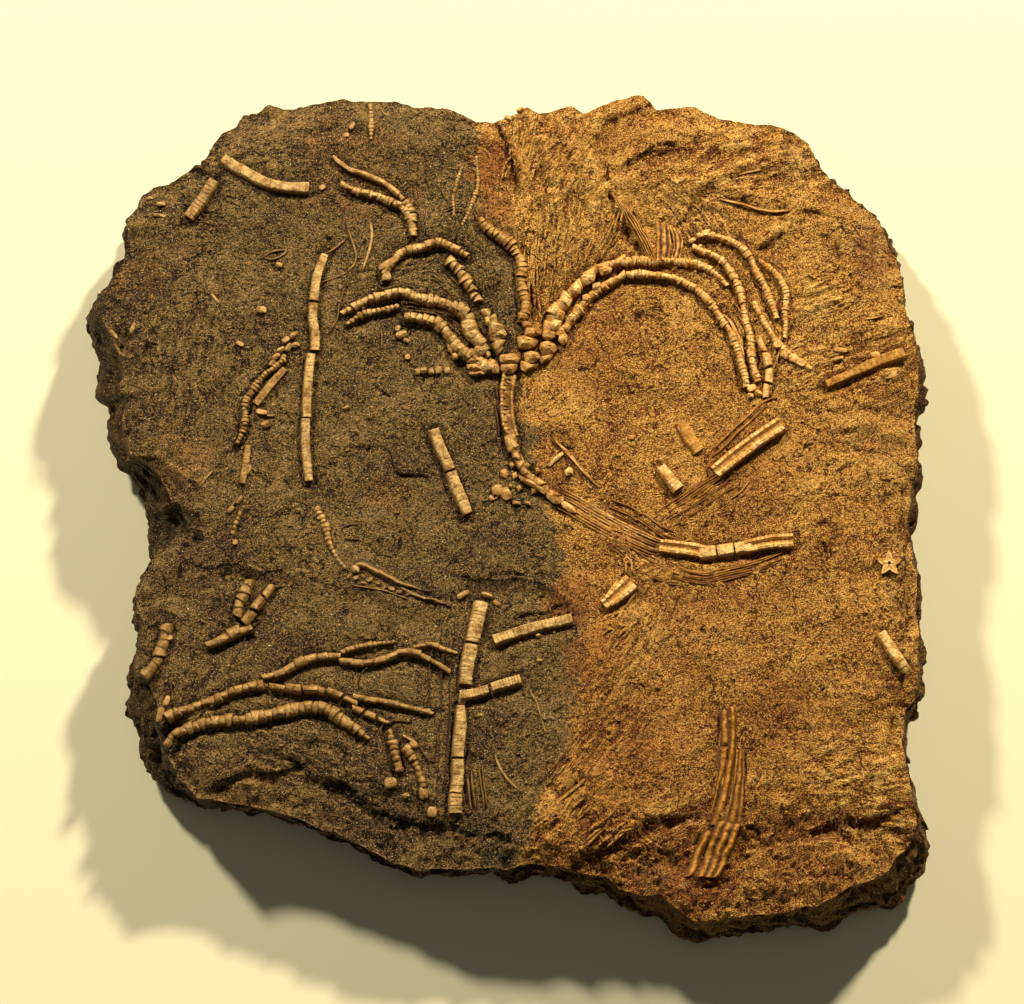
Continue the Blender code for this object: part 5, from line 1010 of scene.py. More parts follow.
def shaleMaterial():
    # pyritic shale, split along a bed and half of it weathered to limonite: matt, gritty, with painted glints of tiny
    # bright grains, and painted shade in its hollows, cracks and on its broken sides
    material = bpy.data.materials.new("limonite-stained shale")
    material.use_nodes = True
    tree = material.node_tree
    shader = tree.nodes["Principled BSDF"]
    place = addNode(tree, "ShaderNodeTexCoord").outputs["Object"]

    def attribute(name):
        return addNode(tree, "ShaderNodeAttribute", {"attribute_name": name}).outputs["Fac"]

    def mixed(factor, a, b, blend="MIX"):
        node = addNode(tree, "ShaderNodeMix", {"data_type": "RGBA", "blend_type": blend})
        for index, value in ((0, factor), (6, a), (7, b)):
            if isinstance(value, bpy.types.NodeSocket):
                tree.links.new(value, node.inputs[index])
            else:
                node.inputs[index].default_value = value
        return node.outputs[2]

    def speckle(scale, low, high, detail=4.0, rough=0.65):
        grain = addNode(tree, "ShaderNodeTexNoise", {"Scale": scale, "Detail": detail, "Roughness": rough},
                        {"Vector": place})
        ramp = addNode(tree, "ShaderNodeMapRange", {"From Min": low, "From Max": high}, {"Value": grain.outputs["Fac"]})
        return ramp.outputs["Result"]

    broad, middling = speckle(30.0, 0.36, 0.64), speckle(300.0, 0.36, 0.66)
    sand = speckle(620.0, 0.38, 0.64, 3.0)
    flow = addNode(tree, "ShaderNodeAttribute", {"attribute_name": "flow"}).outputs["Vector"]
    fibres = addNode(tree, "ShaderNodeTexNoise", {"Scale": 1.0, "Detail": 3.0, "Roughness": 0.6}, {"Vector": flow})
    fibre = maths(tree, "MULTIPLY", maths(tree, "SUBTRACT", fibres.outputs["Fac"], 0.5), attribute("fibre"))
    # silt grains, each of its own brightness and painted darker towards its edge as shade round the raised grain, with
    # clay in the gaps: drawn 0.5 mm across, the real ones are finer
    grains = addNode(tree, "ShaderNodeTexVoronoi", {"Scale": 2100.0, "Randomness": 1.0}, {"Vector": place})
    own = addNode(tree, "ShaderNodeSeparateColor", {}, {"Color": grains.outputs["Color"]}).outputs[0]
    domed = maths(tree, "SUBTRACT", 0.55, grains.outputs["Distance"])
    # the lightest grains and high places turn pale and the gaps between grains dark, partly as painted light and shade:
    # this share carries 25, 3 and 1 mm mottling
    shade = maths(tree, "MULTIPLY_ADD", broad, 0.28, maths(tree, "MULTIPLY", middling, 0.12))
    shade = maths(tree, "MULTIPLY_ADD", own, 0.72, shade)
    shade = maths(tree, "MULTIPLY_ADD", domed, 0.85, shade)
    shade = maths(tree, "MULTIPLY_ADD", sand, 0.08, shade)
    shade = maths(tree, "MULTIPLY_ADD", fibre, 2.0, shade)
    # the face's relief as painted light and shade: its low places and the moats round the fossils darker, its high
    # places lighter
    high = addNode(tree, "ShaderNodeMapRange", {"From Min": -1.6, "From Max": 1.2, "To Min": -0.16, "To Max": 0.14},
                   {"Value": attribute("crest")}).outputs["Result"]
    shade = maths(tree, "ADD", high, shade)
    # hairline cracks, painted dark as shade: where a slow noise crosses its middle level, broken up by the mottling
    crossing = addNode(tree, "ShaderNodeTexNoise", {"Scale": 70.0, "Detail": 4.0, "Roughness": 0.6, "Distortion": 0.5},
                       {"Vector": place}).outputs["Fac"]
    crossing = maths(tree, "ABSOLUTE", maths(tree, "SUBTRACT", crossing, 0.5))
    crossing = addNode(tree, "ShaderNodeMapRange", {"From Min": 0.017, "From Max": 0.004}, {"Value": crossing})
    crackLinesPaintedDark = maths(tree, "MULTIPLY", crossing.outputs["Result"], maths(tree, "GREATER_THAN", middling, 0.45))
    # thin dark lines at the cracks, step feet and fossil feet: painted shadow
    opening = maths(tree, "MULTIPLY_ADD", maths(tree, "SUBTRACT", sand, 0.5), 0.5, attribute("opening"))
    opening = maths(tree, "MULTIPLY_ADD", maths(tree, "SUBTRACT", middling, 0.5), 0.6, opening)
    opening = addNode(tree, "ShaderNodeMapRange", {"From Min": 0.75, "From Max": 0.1}, {"Value": opening})
    isFace = maths(tree, "GREATER_THAN", attribute("opening"), 0.0)
    opening = maths(tree, "MULTIPLY", opening.outputs["Result"], isFace)
    crackLinesPaintedDark = maths(tree, "MULTIPLY_ADD", opening, 1.1, crackLinesPaintedDark)
    shade = maths(tree, "MULTIPLY_ADD", crackLinesPaintedDark, -0.6, shade)
    shade = addNode(tree, "ShaderNodeMapRange", {"From Min": 0.34, "From Max": 1.0}, {"Value": shade}).outputs["Result"]
    pale = addNode(tree, "ShaderNodeMapRange", {"From Min": 0.8, "From Max": 1.3}, {"Value": shade}).outputs["Result"]
    dark = mixed(shade, linear("#241502"), linear("#A8844C"))
    ochre = mixed(shade, linear("#6A2C00"), linear("#FFC356"))
    ochre = mixed(pale, ochre, linear("#FFDDA0"))
    ochre = mixed(maths(tree, "MULTIPLY", speckle(22.0, 0.45, 0.7), 0.35), ochre,
                  mixed(shade, linear("#581F00"), linear("#E09434")))
    edge = maths(tree, "MULTIPLY_ADD", maths(tree, "SUBTRACT", sand, 0.5), 0.55, attribute("stain"))
    edge = addNode(tree, "ShaderNodeMapRange", {"From Min": 0.1, "From Max": 0.9}, {"Value": edge}).outputs["Result"]
    colour = mixed(edge, dark, ochre)
    rust = maths(tree, "MULTIPLY", attribute("rust"), maths(tree, "MULTIPLY_ADD", middling, 0.5, 0.7))
    colour = mixed(rust, colour, mixed(shade, linear("#5A2402"), linear("#D08A3A")))
    grey = maths(tree, "MULTIPLY", attribute("grey"), maths(tree, "MULTIPLY_ADD", middling, 0.5, 0.35))
    colour = mixed(grey, colour, mixed(shade, linear("#6E4412"), linear("#EDBE70")))
    # the broken sides are painted dark as shade
    side = maths(tree, "MULTIPLY", attribute("side"), 0.75)
    colour = mixed(side, colour, mixed(shade, linear("#140B03"), linear("#6B4A24")))
    # painted glints: tiny bright specks
    paintedGlint = speckle(1500.0, 0.685, 0.72, 1.0)
    colour = mixed(maths(tree, "MULTIPLY", paintedGlint, 0.85), colour, linear("#F2DDA8"))
    tree.links.new(colour, shader.inputs["Base Color"])
    shader.inputs["Roughness"].default_value = 0.85
    shader.inputs["Specular IOR Level"].default_value = 0.35
    # relief: 9 and 4 mm lumps, 1.6 mm grit, the grains, the fibres and the hairlines
    bump = None
    for scale, distance, detail in ((110.0, 1.6, 3.0), (260.0, 0.6, 3.0), (620.0, 0.45, 3.0)):
        grain = addNode(tree, "ShaderNodeTexNoise", {"Scale": scale, "Detail": detail, "Roughness": 0.6},
                        {"Vector": place})
        bump = addNode(tree, "ShaderNodeBump", {"Strength": 1.0, "Distance": distance * mm},
                       {"Height": grain.outputs["Fac"], **({"Normal": bump.outputs[0]} if bump else {})})
    raised = maths(tree, "MULTIPLY", domed, maths(tree, "ADD", own, 0.3))
    for height, distance in ((raised, 0.8), (fibre, 3.2), (maths(tree, "MULTIPLY", crackLinesPaintedDark, -1.0), 1.0)):
        bump = addNode(tree, "ShaderNodeBump", {"Strength": 1.0, "Distance": distance * mm},
                       {"Height": height, "Normal": bump.outputs[0]})
    # thin flakes: their noise rises slowly and drops at once, which leaves fine broken edges
    for scale, steps, distance in ((45.0, 7.0, 0.8), (110.0, 5.0, 0.4)):
        rise = addNode(tree, "ShaderNodeTexNoise", {"Scale": scale, "Detail": 4.0, "Roughness": 0.55, "Distortion": 0.4},
                       {"Vector": place})
        drop = maths(tree, "FRACT", maths(tree, "MULTIPLY", rise.outputs["Fac"], steps))
        bump = addNode(tree, "ShaderNodeBump", {"Strength": 1.0, "Distance": distance * mm},
                       {"Height": drop, "Normal": bump.outputs[0]})
    tree.links.new(bump.outputs[0], shader.inputs["Normal"])
    return material


shaleFinish = shaleMaterial()
shaleSlab = makeSlab()
shaleSlab.data.materials.append(shaleFinish)
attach(shaleSlab, "root")
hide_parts("matrix_slab")
print("the slab has", len(shaleSlab.data.polygons), "faces")

# ---- templates that the trees below repeat ----
# Cross-sections of unit width, from the left foot over the top to the right foot.
sections = {
    "round": [(-0.5, -0.35), (-0.49, 0.15), (-0.42, 0.52), (-0.27, 0.85), (0, 1), (0.27, 0.85), (0.42, 0.52),
              (0.49, 0.15), (0.5, -0.35)],
    "keeled": [(-0.5, -0.35), (-0.5, 0.2), (-0.43, 0.55), (-0.26, 0.86), (-0.1, 1), (0.14, 0.97), (0.36, 0.68),
               (0.49, 0.25), (0.5, -0.35)],
    "flat": [(-0.5, -0.4), (-0.49, 0.25), (-0.3, 0.93), (-0.22, 1), (0.1, 0.98), (0.43, 0.96), (0.49, 0.8),
             (0.5, -0.4)],
    "grooved": [(-0.5, -0.4), (-0.49, 0.55), (-0.41, 0.95), (-0.25, 1), (-0.1, 0.6), (0.1, 0.6), (0.25, 1),
                (0.41, 0.95), (0.49, 0.55), (0.5, -0.4)],
    "channel": [(-0.5, -0.4), (-0.49, 0.6), (-0.42, 1), (-0.32, 0.98), (-0.2, 0.66), (0, 0.58), (0.2, 0.66),
                (0.32, 0.98), (0.42, 1), (0.49, 0.6), (0.5, -0.4)],
}

# Each plate: its section, and rings along it as place, width, height, slant of the joint, brightness.
plateStyles = {
    "wedge": ("keeled", [(-0.5, 0.84, 0.76, 0.5, 0.1), (-0.34, 0.92, 0.88, 0.45, 0.6), (0.05, 0.98, 0.98, 0.1, 0.85),
                         (0.3, 1.08, 1.14, -0.36, 1.0), (0.46, 1.0, 0.98, -0.5, 0.6), (0.54, 0.86, 0.78, -0.55, 0.1)]),
    "rib": ("keeled", [(-0.5, 0.92, 0.88, 0.34, 0.25), (-0.36, 0.97, 0.95, 0.3, 0.7), (0.08, 1.0, 1.02, 0.05, 0.9),
                       (0.34, 1.03, 1.05, -0.24, 1.0), (0.5, 0.93, 0.89, -0.34, 0.25)]),
    "bead": ("keeled", [(-0.5, 0.87, 0.8, 0.1, 0.2), (-0.3, 0.96, 0.94, 0.08, 0.75), (0, 1.02, 1.05, 0, 1.0),
                        (0.3, 0.97, 0.95, -0.08, 0.75), (0.5, 0.87, 0.8, -0.1, 0.2)]),
    "smooth": ("keeled", [(-0.5, 0.96, 0.95, 0.16, 0.5), (-0.45, 0.99, 0.99, 0.14, 0.8), (0, 0.98, 0.98, 0, 0.85),
                          (0.44, 1.02, 1.03, -0.14, 0.95), (0.5, 0.97, 0.97, -0.16, 0.5)]),
    "columnal": ("flat", [(-0.5, 0.985, 0.95, 0, 0.55), (-0.36, 1, 1, 0, 0.9), (0.36, 1, 1, 0, 1.0),
                          (0.5, 0.985, 0.95, 0, 0.55)]),
    "grooved": ("grooved", [(-0.5, 0.98, 0.93, 0, 0.5), (-0.3, 1, 1, 0, 0.9), (0.3, 1, 1, 0, 1.0),
                            (0.5, 0.98, 0.93, 0, 0.5)]),
    "channel": ("channel", [(-0.5, 0.97, 0.95, 0, 0.6), (-0.25, 1, 1, 0, 0.9), (0.25, 1.02, 1.02, 0, 1.0),
                            (0.5, 0.97, 0.95, 0, 0.6)]),
}


def templateSet(name, shapes):
    group = bpy.data.collections.new(name)
    for number, (points, faces, crest) in enumerate(shapes):
        mesh = bpy.data.meshes.new(f"{name}_{number}")
        mesh.from_pydata(points, [], faces)
        shape = bmesh.new()
        shape.from_mesh(mesh)
        bmesh.ops.recalc_face_normals(shape, faces=shape.faces)
        shape.to_mesh(mesh)
        shape.free()
        mesh.attributes.new("crest", "FLOAT", "POINT").data.foreach_set("value", crest)
        group.objects.link(bpy.data.objects.new(f"{name}_{number}", mesh))
    return group


def plateShape(style, number, chance):
    section, rings = plateStyles[style]
    section = sections[section]
    sign = 1 if number % 2 else -1
    points, crest = [], []
    notch = (0.35, 1.25, 0.8, 1.0)[number]  # some joints are worn shut
    for place, wide, high, slant, bright in rings:
        wide, high = 1 - notch * (1 - wide), 1 - notch * (1 - high)
        bright = 1 - min(1.0, notch * (1 - bright))
        for y, z in section:
            pitted = 0.35 if style == "channel" and abs(y) < 0.3 else 0.07
            shown = chance.choice((0.35, 1.2, 1.4)) if pitted > 0.1 else bright
            points.append((place + sign * slant * y, y * wide * chance.uniform(0.97, 1.03),
                           z * high * chance.uniform(1 - pitted, 1 + pitted) if z > 0 else z))
            # crest: the ring's brightness, painted lighter the higher the point stands: painted highlight on top,
            # painted shade down the flanks
            crest.append(min(1.0, shown * min(1.0, max(0.0, 0.1 + z)) ** 0.9))
    size = len(section)
    faces = [(r * size + k, r * size + (k + 1) % size, (r + 1) * size + (k + 1) % size, (r + 1) * size + k)
             for r in range(len(rings) - 1) for k in range(size)]
    faces += [tuple(range(size)), tuple(range((len(rings) - 1) * size, len(rings) * size))]
    return points, faces, crest


def blockShape(number, chance):
    # a plate seen face on: boxy outline, bevelled edge, low facets on top
    sides = 14
    points, crest = [], []
    # bright: painted lighter with height, painted highlight on the top and painted shade at the foot
    for reach, z, bright in ((1, -0.5, 0), (1, 0.3, 0.2), (0.94, 0.62, 0.6), (0.74, 0.8, 0.75), (0.38, 0.86, 0.7)):
        for k in range(sides):
            turn = 2 * math.pi * k / sides
            c, s = math.cos(turn), math.sin(turn)
            edge = (abs(c) ** 3.6 + abs(s) ** 3.6) ** (-1 / 3.6)
            lump = 1 + 0.09 * noise.noise(Vector((2 * c, 2 * s, 5 * number)))
            x, y = 0.5 * reach * edge * c * lump, 0.5 * reach * edge * s * lump
            tilt = (1.1 - 0.7 * abs(y) * 2, 1.05 + 0.5 * x, 1.1 - 0.6 * abs(x + y), 1.05 - 0.5 * y)[number]
            points.append((x, y, z * (tilt + 0.05 * chance.uniform(-1, 1)) if z > 0 else z))
            crest.append(bright)
    points.append((0, 0, 0.88))
    crest.append(0.7)
    faces = [(r * sides + k, r * sides + (k + 1) % sides, (r + 1) * sides + (k + 1) % sides, (r + 1) * sides + k)
             for r in range(4) for k in range(sides)]
    faces += [(4 * sides + k, 4 * sides + (k + 1) % sides, 5 * sides) for k in range(sides)]
    faces.append(tuple(range(sides)))
    return points, faces, crest


def chipShape(number, chance):
    # a flake or grain of a few facets
    points = [(0.5 * math.cos(a), 0.5 * math.sin(a), z) for z, shift in ((-0.4, 0), (0.35, 0.5))
              for a in (2 * math.pi * (k + shift) / 6 for k in range(6))]
    points = [(x * chance.uniform(0.7, 1.15), y * chance.uniform(0.55, 0.95), z * chance.uniform(0.8, 1.2))
              for x, y, z in points] + [(chance.uniform(-0.15, 0.15), chance.uniform(-0.15, 0.15), 0.62)]
    faces = [(k, (k + 1) % 6, 6 + k) for k in range(6)] + [((k + 1) % 6, 6 + (k + 1) % 6, 6 + k) for k in range(6)]
    faces += [(6 + k, 6 + (k + 1) % 6, 12) for k in range(6)] + [tuple(range(6))]
    # crest: painted darker at the foot and lighter on top, as shade and highlight
    return points, faces, [0.2] * 6 + [0.8] * 6 + [1.0]


chance = np.random.default_rng(5)
plateTemplates = {style: templateSet(style, [plateShape(style, k, chance) for k in range(4)]) for style in plateStyles}
blockTemplates = templateSet("block", [blockShape(k, chance) for k in range(4)])
chipTemplates = templateSet("chip", [chipShape(k, chance) for k in range(6)])


# ---- geometry node trees ----
def treeWith(name, sockets):
    tree = bpy.data.node_groups.new(name, "GeometryNodeTree")
    tree.interface.new_socket("Geometry", in_out="OUTPUT", socket_type="NodeSocketGeometry")
    for label, kind in (("Geometry", "Geometry"), *sockets):
        tree.interface.new_socket(label, in_out="INPUT", socket_type="NodeSocket" + kind)
    return tree, addNode(tree, "NodeGroupInput").outputs, addNode(tree, "NodeGroupOutput")


def finishTree(tree, geometry, material, result):
    real = addNode(tree, "GeometryNodeRealizeInstances", {}, {"Geometry": geometry})
    made = addNode(tree, "GeometryNodeSetMaterial", {}, {"Geometry": real.outputs[0], "Material": material})
    tree.links.new(made.outputs[0], result.inputs[0])
    return tree


def named(tree, attribute, kind="FLOAT"):
    return addNode(tree, "GeometryNodeInputNamedAttribute", {"data_type": kind, "Name": attribute}).outputs[0]


def chanceOf(tree, low, high, seed, whole=False):
    node = addNode(tree, "FunctionNodeRandomValue", {"data_type": "INT" if whole else "FLOAT"}, {"Seed": seed})
    for index, value in ((4 if whole else 2, low), (5 if whole else 3, high)):
        if isinstance(value, bpy.types.NodeSocket):
            tree.links.new(value, node.inputs[index])
        else:
            node.inputs[index].default_value = value
    return node.outputs[2 if whole else 1]


def platesAlongPath():
    tree, given, result = treeWith("plates along a path", (
        ("Plates", "Collection"), ("Plate Length", "Float"), ("Rise", "Float"), ("Uneven", "Float"),
        ("Twist", "Float"), ("Seed", "Int"), ("Calcite", "Material")))
    curve = addNode(tree, "GeometryNodeMeshToCurve", {}, {"Mesh": given["Geometry"]})
    spaced = addNode(tree, "GeometryNodeResampleCurve", {"mode": "LENGTH"},
                     {"Curve": curve.outputs[0], "Length": given["Plate Length"]})
    tangent = addNode(tree, "GeometryNodeInputTangent")
    along = addNode(tree, "FunctionNodeAlignRotationToVector", {"axis": "X"}, {"Vector": tangent.outputs[0]})
    upright = addNode(tree, "FunctionNodeAlignRotationToVector",
                      {"axis": "Z", "pivot_axis": "X", "Vector": (0, 0, 1)}, {"Rotation": along.outputs[0]})
    back = maths(tree, "MULTIPLY", given["Twist"], -1.0)
    lean = addNode(tree, "ShaderNodeCombineXYZ", {}, {
        "X": chanceOf(tree, back, given["Twist"], maths(tree, "ADD", given["Seed"], 3.0)),
        "Z": chanceOf(tree, back, given["Twist"], maths(tree, "ADD", given["Seed"], 4.0))})
    leaning = addNode(tree, "FunctionNodeRotateRotation", {"rotation_space": "LOCAL"}, {
        "Rotation": upright.outputs[0], "Rotate By": lean.outputs[0]})
    index = addNode(tree, "GeometryNodeInputIndex").outputs[0]
    variety = chanceOf(tree, 0, 1, given["Seed"], True)
    pick = maths(tree, "MULTIPLY_ADD", variety, 2.0, maths(tree, "MODULO", index, 2.0))
    least, most = maths(tree, "SUBTRACT", 1.0, given["Uneven"]), maths(tree, "ADD", 1.0, given["Uneven"])
    width = maths(tree, "MULTIPLY", named(tree, "width"), chanceOf(tree, least, most, given["Seed"]))
    height = maths(tree, "MULTIPLY", maths(tree, "MULTIPLY", named(tree, "width"), given["Rise"]),
                   chanceOf(tree, least, most, maths(tree, "ADD", given["Seed"], 1.0)))
    scale = addNode(tree, "ShaderNodeCombineXYZ", {}, {
        "X": maths(tree, "MULTIPLY", given["Plate Length"], 1.1), "Y": width, "Z": height})
    plates = addNode(tree, "GeometryNodeCollectionInfo", {"Separate Children": True, "Reset Children": True},
                     {"Collection": given["Plates"]})
    laid = addNode(tree, "GeometryNodeInstanceOnPoints", {"Pick Instance": True}, {
        "Points": spaced.outputs[0], "Instance": plates.outputs[0], "Instance Index": pick,
        "Rotation": leaning.outputs[0], "Scale": scale.outputs[0]})
    return finishTree(tree, laid.outputs[0], given["Calcite"], result)


def strandsAlongPaths():
    tree, given, result = treeWith("strands along paths", (
        ("Step", "Float"), ("Wander", "Float"), ("Raggedness", "Float"), ("Seed", "Int"), ("Calcite", "Material")))
    curve = addNode(tree, "GeometryNodeMeshToCurve", {}, {"Mesh": given["Geometry"]})
    spaced = addNode(tree, "GeometryNodeResampleCurve", {"mode": "LENGTH"},
                     {"Curve": curve.outputs[0], "Length": given["Step"]})
    count = named(tree, "strands")
    copies = addNode(tree, "GeometryNodeDuplicateElements", {"domain": "SPLINE"},
                     {"Geometry": spaced.outputs[0], "Amount": count})
    number = copies.outputs["Duplicate Index"]
    share = maths(tree, "SUBTRACT", maths(tree, "DIVIDE", maths(tree, "ADD", number, 0.5), count), 0.5)
    own = addNode(tree, "FunctionNodeRandomValue", {"data_type": "FLOAT", 2: -0.55, 3: 0.55},
                  {"ID": maths(tree, "ADD", number, maths(tree, "MULTIPLY", count, 31.0)), "Seed": given["Seed"]})
    share = maths(tree, "ADD", share, maths(tree, "DIVIDE", own.outputs[1], count))
    across = maths(tree, "MULTIPLY", share, named(tree, "width"))
    tangent = addNode(tree, "GeometryNodeInputTangent")
    side = addNode(tree, "ShaderNodeVectorMath", {"operation": "CROSS_PRODUCT", 1: (0, 0, 1)},
                   {0: tangent.outputs[0]})
    aside = addNode(tree, "ShaderNodeVectorMath", {"operation": "SCALE"},
                    {"Vector": side.outputs[0], "Scale": across})
    swell = addNode(tree, "ShaderNodeTexNoise", {"noise_dimensions": "4D", "Scale": 130.0, "Detail": 1.0}, {
        "W": maths(tree, "MULTIPLY", number, 3.7)})
    middle = addNode(tree, "ShaderNodeVectorMath", {"operation": "SUBTRACT", 1: (0.5, 0.5, 0.5)},
                     {0: swell.outputs["Color"]})
    drift = addNode(tree, "ShaderNodeVectorMath", {"operation": "SCALE"},
                    {"Vector": middle.outputs[0], "Scale": given["Wander"]})
    level = addNode(tree, "ShaderNodeVectorMath", {"operation": "MULTIPLY", 1: (1, 1, 0.35)}, {0: drift.outputs[0]})
    offset = addNode(tree, "ShaderNodeVectorMath", {"operation": "ADD"}, {0: aside.outputs[0], 1: level.outputs[0]})
    moved = addNode(tree, "GeometryNodeSetPosition", {}, {"Geometry": copies.outputs[0], "Offset": offset.outputs[0]})
    loose = maths(tree, "MULTIPLY", given["Raggedness"], maths(tree, "GREATER_THAN", count, 1.5))
    start = chanceOf(tree, 0.0, loose, given["Seed"])
    end = maths(tree, "SUBTRACT", 1.0, chanceOf(tree, 0.0, loose, maths(tree, "ADD", given["Seed"], 7.0)))
    trimmed = addNode(tree, "GeometryNodeTrimCurve", {"mode": "FACTOR"}, {"Curve": moved.outputs[0]})
    tree.links.new(start, trimmed.inputs[2])
    tree.links.new(end, trimmed.inputs[3])
    along = addNode(tree, "GeometryNodeSplineParameter").outputs["Factor"]
    ends = maths(tree, "ABSOLUTE", maths(tree, "MULTIPLY_ADD", along, 2.0, -1.0))
    taper = maths(tree, "SUBTRACT", 1.0, maths(tree, "MULTIPLY", maths(tree, "POWER", ends, 6.0), 0.65))
    radius = maths(tree, "MULTIPLY", named(tree, "radius"), taper)
    thick = addNode(tree, "GeometryNodeSetCurveRadius", {}, {"Curve": trimmed.outputs[0], "Radius": radius})
    profile = addNode(tree, "GeometryNodeCurvePrimitiveCircle", {"Resolution": 6, "Radius": 1.0})
    tube = addNode(tree, "GeometryNodeCurveToMesh", {"Fill Caps": True},
                   {"Curve": thick.outputs[0], "Profile Curve": profile.outputs[0]})
    if "Scale" in tube.inputs:
        tree.links.new(addNode(tree, "GeometryNodeInputRadius").outputs[0], tube.inputs["Scale"])
    return finishTree(tree, tube.outputs[0], given["Calcite"], result)


def blocksOnPoints():
    tree, given, result = treeWith("blocks on points", (
        ("Blocks", "Collection"), ("Seed", "Int"), ("Calcite", "Material")))
    points = addNode(tree, "GeometryNodeMeshToPoints", {}, {"Mesh": given["Geometry"]})
    turn = addNode(tree, "ShaderNodeCombineXYZ", {}, {"Z": named(tree, "turn")})
    blocks = addNode(tree, "GeometryNodeCollectionInfo", {"Separate Children": True, "Reset Children": True},
                     {"Collection": given["Blocks"]})
    laid = addNode(tree, "GeometryNodeInstanceOnPoints", {"Pick Instance": True}, {
        "Points": points.outputs[0], "Instance": blocks.outputs[0],
        "Instance Index": chanceOf(tree, 0, 3, given["Seed"], True),
        "Rotation": turn.outputs[0], "Scale": named(tree, "size", "FLOAT_VECTOR")})
    return finishTree(tree, laid.outputs[0], given["Calcite"], result)


def grainsOnFace():
    tree, given, result = treeWith("grains on the bedding plane", (
        ("Grains", "Collection"), ("Density", "Float"), ("Smallest", "Float"), ("Largest", "Float"),
        ("Seed", "Int"), ("Shale", "Material")))
    normal = addNode(tree, "GeometryNodeInputNormal").outputs[0]
    height = addNode(tree, "ShaderNodeSeparateXYZ", {}, {0: normal}).outputs["Z"]
    spread = addNode(tree, "GeometryNodeDistributePointsOnFaces", {"distribute_method": "RANDOM"}, {
        "Mesh": given["Geometry"], "Selection": maths(tree, "GREATER_THAN", height, 0.6),
        "Density": given["Density"], "Seed": given["Seed"]})
    spin = addNode(tree, "ShaderNodeCombineXYZ", {}, {"Z": chanceOf(tree, 0.0, 6.283, given["Seed"])})
    turned = addNode(tree, "FunctionNodeRotateRotation", {"rotation_space": "LOCAL"}, {
        "Rotation": spread.outputs["Rotation"], "Rotate By": spin.outputs[0]})
    pull = maths(tree, "POWER", chanceOf(tree, 0.0, 1.0, maths(tree, "ADD", given["Seed"], 2.0)), 2.5)
    size = addNode(tree, "ShaderNodeMapRange", {}, {
        "Value": pull, "To Min": given["Smallest"], "To Max": given["Largest"]}).outputs[0]
    scale = addNode(tree, "ShaderNodeCombineXYZ", {}, {"X": size, "Y": size, "Z": maths(tree, "MULTIPLY", size, 0.7)})
    grains = addNode(tree, "GeometryNodeCollectionInfo", {"Separate Children": True, "Reset Children": True},
                     {"Collection": given["Grains"]})
    laid = addNode(tree, "GeometryNodeInstanceOnPoints", {"Pick Instance": True}, {
        "Points": spread.outputs[0], "Instance": grains.outputs[0],
        "Instance Index": chanceOf(tree, 0, 5, given["Seed"], True),
        "Rotation": turned.outputs[0], "Scale": scale.outputs[0]})
    return finishTree(tree, laid.outputs[0], given["Shale"], result)


plateTree, strandTree, blockTree, grainTree = platesAlongPath(), strandsAlongPaths(), blocksOnPoints(), grainsOnFace()


# ---- laying pieces on the bedding plane ----
def groundGrid():
    places = np.arange(-180.0, 181.0, 1.0)
    x, y = np.meshgrid(places, places, indexing="ij")
    return beddingHeight(x.ravel(), y.ravel()).reshape(x.shape)


groundLevels = groundGrid()


def ground(x, y):
    return sample(groundLevels, 1.0, x, y)


def drapedLines(name, lines, sink):
    # lines: smooth route and one value for each attribute; every route is laid on the ground and sunk in a little
    places, edges, values = [], [], {"width": []}
    for route, extra in lines:
        smooth = np.array(route)
        first = sum(len(p) for p in places)
        z = ground(smooth[:, 0], smooth[:, 1]) - sink
        places.append(np.stack([smooth[:, 0], smooth[:, 1], z], axis=1))
        edges += [(first + k, first + k + 1) for k in range(len(smooth) - 1)]
        values["width"].append(smooth[:, 2] * mm)
        for key, value in extra.items():
            values.setdefault(key, []).append(np.full(len(smooth), float(value)))
    mesh = bpy.data.meshes.new(name)
    mesh.from_pydata(np.concatenate(places) * mm, edges, [])
    for key, parts in values.items():
        mesh.attributes.new(key, "FLOAT", "POINT").data.foreach_set("value", np.concatenate(parts))
    return bpy.data.objects.new(name, mesh)


def grow(name, base, tree, values):
    # runs a tree on the base object and keeps what it makes as a plain mesh
    bpy.context.scene.collection.objects.link(base)
    modifier = base.modifiers.new("grow", "NODES")
    modifier.node_group = tree
    for item in tree.interface.items_tree:
        if item.in_out == "INPUT" and item.name in values:
            modifier[item.identifier] = values[item.name]
    graph = bpy.context.evaluated_depsgraph_get()
    mesh = bpy.data.meshes.new_from_object(base.evaluated_get(graph), depsgraph=graph)
    bpy.data.objects.remove(base)
    mesh.name = name
    piece = bpy.data.objects.new(name, mesh)
    bpy.context.scene.collection.objects.link(piece)
    return piece


